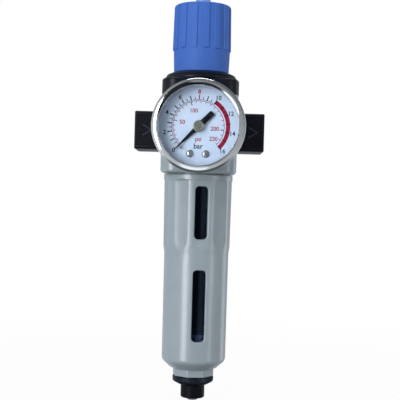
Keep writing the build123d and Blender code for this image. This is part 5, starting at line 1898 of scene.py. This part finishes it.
    def on_dial(self, radius: float, bars: float) -> Flat:
        """The place at a radius and a pressure."""
        angle = math.radians(self.angle(bars))
        return radius * math.sin(angle), radius * math.cos(angle)

    def printed(self, level: float) -> list[Object]:
        """Everything that is printed on the dial.

        Args:
            level: The dial's face.

        Returns:
            The printed pieces, each with its ink.
        """
        black, red = self.palette["ink_black"], self.palette["ink_red"]
        begin, warn, end = (self.angle(bars) for bars in (0, self.red_from, self.scale_top))
        in_red = [
            self.band("red_band", self.scale_r + 0.2, self.red_band_r, (warn, end), level),
            self.band("psi_arc", self.psi_r - 0.13, self.psi_r + 0.13, (begin, end), level),
            self.word("psi", 3.0, (0, -6.3), level, self.thin_weight),
        ]
        for text, radius, psi in self.psi_words:
            place = self.on_dial(radius, psi / self.psi_per_bar)
            in_red.append(self.word(text, self.psi_size, place, level, self.thin_weight))
        in_black = [
            self.band("bar_arc", self.scale_r - 0.1, self.scale_r + 0.1, (begin, warn), level),
            self.word("bar", 3.6, (0, -9.8), level),
        ]
        for bars in range(0, self.scale_top + 1, 2):
            number = self.word(str(bars), self.number_size, self.on_dial(self.number_r, bars), level)
            (in_red if bars == self.red_number else in_black).append(number)
        for pieces, ink in ((in_red, red), (in_black, black)):
            for piece in pieces:
                piece.data.materials.clear()
                piece.data.materials.append(ink)
        psi = 1 / self.psi_per_bar
        above = level + self.ink
        rows = [
            (Marks(self.scale_r, 2.3, 0.5, 0, self.red_from), level, black),
            (Marks(self.scale_r, 1.4, 0.32, 0.5, self.red_from - 0.5), level, black),
            (Marks(self.scale_r + 0.1, 2.3, 0.42, self.red_from, self.scale_top), above, black),
            (Marks(self.scale_r, 2.3, 0.5, self.red_number, self.red_number), above, red),
            (Marks(self.psi_r, -1.1, 0.28, 0, self.psi_top * psi, 10 * psi), level, red),
            (Marks(self.psi_r, -1.8, 0.42, 50 * psi, 50 * psi), above, red),
            (Marks(self.psi_r, -1.8, 0.42, 100 * psi, 200 * psi, 100 * psi), above, black),
        ]
        return in_red + in_black + [self.marks(*row) for row in rows]

    def build_dial(self) -> Object:
        """Cuts the dial plate and prints it."""
        back, front = self.levels("gauge_dial")
        radius, _, _ = size_of(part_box("gauge_dial"))
        corners = [(self.dial_hole_r, back, 0), (radius, back, 0.1)]
        corners += [(radius, front, 0.15), (self.dial_hole_r, front, 0.1)]
        plate = turned("gauge_dial_plate", corners, 144, closed=True)
        plate.data.materials.append(self.palette["dial_white"])
        dial = joined("gauge_dial_printed", [plate, *self.printed(front)])
        return self.put(dial, "gauge_dial", "dial_white")

    def build_pointer(self) -> Object:
        """Cuts the pointer: a slim blade that comes to a point, with a broad tail whose corners are cut."""
        back, front = self.levels("pointer")
        tail, broad, corner = self.pointer_tail, self.tail_half, self.tail_corner
        outline = [(0.0, self.pointer_tip), (0.16, self.pointer_tip - 0.8), (0.32, 13.4)]
        outline += [(self.blade_half, 1.5), (broad, 0.5), (broad, tail + corner), (broad - corner, tail)]
        outline += [(-x, y) for x, y in reversed(outline[1:])]
        blade = spun(slab("pointer_blade", outline, back, front), -self.angle(0))
        return self.put(blade, "pointer", "pointer_black")

    def build_hub(self) -> Object:
        """Turns the cap on the pointer, with a groove near its rim and a dimple in its middle."""
        back, front = self.levels("pointer_hub")
        radius, _, _ = size_of(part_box("pointer_hub"))
        corners = [
            (0, back, 0),
            (radius, back, 0.05),
            (radius, front, 0.35),
            (radius - 0.75, front, 0.1),
            (radius - 0.95, front - 0.12, 0.05),
            (0.7, front - 0.05, 0.08),
            (0.45, front - 0.5, 0.08),
            (0, front - 0.55, 0),
        ]
        return self.put(turned("pointer_hub_cap", corners, 72, near=0.05), "pointer_hub", "hub_nickel")

    def build_screws(self) -> Object:
        """Makes the two slotted pan-head screws."""
        back, front = self.levels("dial_screws")
        _, face = self.levels("gauge_dial")
        head_r, shank_r = self.screw_head_r, self.screw_shank_r
        long, half = self.slot_half_length, self.slot_half_width
        screws = []
        for side, turn in zip((-1, 1), self.screw_turns):
            line = rounded([(0, back, 0), (shank_r, back, 0.2), (shank_r, face, 0), (head_r, face, 0.1)])[:-1]
            line += [(head_r, face + 0.05)]
            line += ellipse_arc((0, face + 0.2), (head_r, front - face - 0.2), 0, 90, 9)
            outline = [(-long, -half), (long, -half), (long, half), (-long, half)]
            slot = spun(slab("slot", outline, front - self.slot_depth, front + 1), turn)
            screw = cut(lathe("dial_screw", line, 48), [slot])
            screws.append(spun(screw, 0, (side * self.screw_at[0], self.screw_at[1], 0)))
        return self.put(joined("dial_screw_pair", screws), "dial_screws", "nickel_steel", "dial_screws")

    def build(self) -> None:
        """Makes the gauge's face."""
        self.build_bezel()
        self.build_lens()
        self.build_dial()
        self.build_pointer()
        self.build_hub()
        self.build_screws()


# ---------------------------------------------------------------- carried-over nodes
def dress_nodes(palette: Palette) -> None:
    """Gives each CAD node that stays the finish of its slot.

    Args:
        palette: The finishes.
    """
    slots = {row["node"]: row["material_slot"] for row in frame["record"]["subparts"]}
    for name, node in frame["nodes"].items():
        finish = name if name in OWN_FINISHES else slots[name]
        for place in node.material_slots:
            place.material = palette[finish]
        log.info("%s: finish %s", name, finish)


# ---------------------------------------------------------------- studio
@dataclass(frozen=True)
class Softbox:
    """A rectangular lamp that faces the object, in metres and watts.

    Its azimuth is its direction from the front, in degrees towards the right.
    """

    name: str
    azimuth: float
    height: float
    wide: float
    tall: float
    power: float
    away: float = 0.8

    def build(self, aim: float) -> None:
        """Places the lamp.

        Args:
            aim: The level on the axis that it is turned to.
        """
        data = bpy.data.lights.new(self.name, "AREA")
        data.shape = "RECTANGLE"
        data.size = self.wide
        data.size_y = self.tall
        data.energy = self.power
        angle = math.radians(self.azimuth)
        place = Vector((self.away * math.sin(angle), -self.away * math.cos(angle), self.height))
        turn = (Vector((0, 0, aim)) - place).to_track_quat("-Z", "Y").to_matrix().to_4x4()
        linked(self.name, data).matrix_world = Matrix.Translation(place) @ turn


@dataclass(frozen=True)
class Patch:
    """A lighter or darker round patch in the room that bright metal mirrors.

    The clock is its place round the line of sight, in degrees, and the tilt its angle from straight ahead.
    """

    clock: float
    tilt: float
    half_width: float
    strength: float
    soft: float = 1.5

    def over(self, toward: NodeSocket) -> Field:
        """How strong the room is in each direction, with 1 outside the patch.

        Args:
            toward: The direction.

        Returns:
            The strength.
        """
        clock, tilt = math.radians(self.clock), math.radians(self.tilt)
        spot = (math.sin(tilt) * math.sin(clock), -math.cos(tilt), math.sin(tilt) * math.cos(clock))
        node = add_node(toward.id_data, "ShaderNodeVectorMath", {0: toward, 1: spot}, operation="DOT_PRODUCT")
        far, near = (math.cos(math.radians(self.half_width + off)) for off in (self.soft, -self.soft))
        return Field(node.outputs["Value"]).mapped((far, near), (1.0, self.strength))


@dataclass
class Studio:
    """The pale floor, the soft light and the camera, with lengths in metres.

    Near and far, the floor is given by a distance from the middle and by how white it is seen there. The
    mirrored room is darker to the right and above, and it is darkest below and right in front of the gauge.
    Below and ahead are each a range of directions and the range of shares that the light has there.
    """

    camera_back: float = 0.51
    camera_height: float = -0.036
    camera_aside: float = 0.0062
    pan: float = 0.56
    lens: float = 85.0
    roll: float = 1.6
    lamps: tuple[Softbox, ...] = (
        Softbox("key", azimuth=-36, height=0.0, wide=0.26, tall=0.9, power=5.2),
        Softbox("rim", azimuth=58, height=0.0, wide=0.08, tall=0.9, power=1.0),
        Softbox("edge", azimuth=122, height=0.0, wide=0.3, tall=0.9, power=1.0),
        Softbox("top", azimuth=180, height=0.8, wide=0.4, tall=0.25, power=3.0, away=0.35),
    )
    patches: tuple[Patch, ...] = (
        Patch(clock=327, tilt=26, half_width=14, strength=0.05),
        Patch(clock=6, tilt=24, half_width=9, strength=0.07),
        Patch(clock=41, tilt=22, half_width=7, strength=6.0),
        Patch(clock=188, tilt=23, half_width=9, strength=1.9),
    )
    floor_half: float = 3.0
    floor_gap: float = 0.0003
    paper: float = 0.45
    floor_near: Flat = (0.17, 0.965)
    floor_far: Flat = (0.45, 1.0)
    room_colour: Colour = (0.93, 0.96, 1.0, 1)
    room_light: float = 0.46
    room_rearward: float = -0.28
    mirrored_colour: Colour = (0.88, 0.95, 1.0, 1)
    mirrored_light: float = 0.5
    mirrored_upward: float = -0.3
    mirrored_rightward: float = -0.16
    below: tuple[Flat, Flat] = ((-0.8, -0.55), (0.15, 1.0))
    ahead: tuple[Flat, Flat] = ((-0.985, -0.93), (0.12, 1.0))

    def build_camera(self) -> None:
        """Puts the camera level in front of the guard, a little to the right and rolled a little."""
        data = bpy.data.cameras.new("camera")
        data.lens = self.lens
        data.clip_start = 0.01
        camera = linked("camera", data)
        turn = Matrix.Rotation(math.radians(self.pan), 4, "Z") @ Matrix.Rotation(math.radians(90), 4, "X")
        turn = turn @ Matrix.Rotation(math.radians(self.roll), 4, "Z")
        place = Vector((self.camera_aside, -self.camera_back, self.camera_height))
        camera.matrix_world = Matrix.Translation(place) @ turn
        bpy.context.scene.camera = camera

    def build_floor(self) -> None:
        """Lays a pale floor that is seen white and keeps a faint shadow."""
        low, half = CAD_BOX[0][2] - self.floor_gap, self.floor_half
        mesh = bpy.data.meshes.new("floor")
        corners = [(-half, -half, low), (half, -half, low), (half, half, low), (-half, half, low)]
        mesh.from_pydata(corners, [], [(0, 1, 2, 3)])
        material = bpy.data.materials.new("floor_pale_paper")
        tree = fresh_tree(material)
        paper = add_node(tree, "ShaderNodeBsdfDiffuse", {"Color": (self.paper, self.paper, self.paper, 1)})
        white = add_node(tree, "ShaderNodeEmission", {"Color": WHITE, "Strength": 1.0})
        where = add_node(tree, "ShaderNodeTexCoord").outputs["Object"]
        away = Field(add_node(tree, "ShaderNodeVectorMath", {0: where}, operation="LENGTH").outputs["Value"])
        reach, shares = zip(self.floor_near, self.floor_far)
        share = away.mapped(reach, shares, interpolation_type="SMOOTHSTEP")
        seen = self.seen_straight(tree) * share
        pale = add_node(tree, "ShaderNodeMixShader", {0: seen, 1: paper, 2: white})
        clear = add_node(tree, "ShaderNodeBsdfTransparent")
        glossy = add_node(tree, "ShaderNodeLightPath").outputs["Is Glossy Ray"]
        mix = add_node(tree, "ShaderNodeMixShader", {0: glossy, 1: pale, 2: clear})
        add_node(tree, "ShaderNodeOutputMaterial", {"Surface": mix})
        mesh.materials.append(material)
        floor = linked("floor", mesh)

    def seen_straight(self, tree: NodeTree) -> Field:
        """Whether the camera sees a place, itself or through clear pieces, and not by a reflection.

        Args:
            tree: The node tree that asks.

        Returns:
            1 where it does, and otherwise 0.
        """
        path = add_node(tree, "ShaderNodeLightPath").outputs
        bounced = Field(path["Glossy Depth"]) + Field(path["Diffuse Depth"])
        through = Field(path["Is Transmission Ray"]) * Field.step("LESS_THAN", bounced, 0.5)
        return Field(path["Is Camera Ray"]).at_least(through)

    def build_world(self) -> None:
        """A white surround for the eye, a dim room for the light and a darker studio for what is mirrored."""
        world = bpy.data.worlds.new("studio")
        bpy.context.scene.world = world
        tree = fresh_tree(world)
        toward = add_node(tree, "ShaderNodeTexCoord").outputs["Generated"]
        x, y, z = parts_of(toward)
        shade = z * self.mirrored_upward + self.mirrored_light + x * self.mirrored_rightward
        shade = shade * z.mapped(*self.below) * y.mapped(*self.ahead)
        for patch in self.patches:
            shade = shade * patch.over(toward)
        plain = add_node(tree, "ShaderNodeBackground", {"Color": WHITE, "Strength": 1.0})
        light = y * self.room_rearward + self.room_light
        room = add_node(tree, "ShaderNodeBackground", {"Color": self.room_colour, "Strength": light})
        mirrored = add_node(tree, "ShaderNodeBackground", {"Color": self.mirrored_colour, "Strength": shade})
        glossy = add_node(tree, "ShaderNodeLightPath").outputs["Is Glossy Ray"]
        lit = add_node(tree, "ShaderNodeMixShader", {0: glossy, 1: room, 2: mirrored})
        mix = add_node(tree, "ShaderNodeMixShader", {0: self.seen_straight(tree), 1: lit, 2: plain})
        add_node(tree, "ShaderNodeOutputWorld", {"Surface": mix})

    def build(self) -> None:
        """Sets up camera, lamps, floor and world."""
        bpy.context.scene.view_settings.view_transform = "Standard"
        self.build_camera()
        for lamp in self.lamps:
            lamp.build(self.camera_height)
        self.build_floor()
        self.build_world()


def main() -> None:
    """Builds the studio, the modelled pieces and the finishes of the rest."""
    logging.basicConfig(level=logging.INFO, format="%(message)s")
    palette = Palette(FINISHES | OWN_FINISHES)
    Studio().build()
    for part in (KnobAssembly, PanelRing, Bonnet, BowlGuard, Drain, SidePlates, Gauge):
        part(palette).build()
    dress_nodes(palette)


if __name__ == "__main__":
    main()
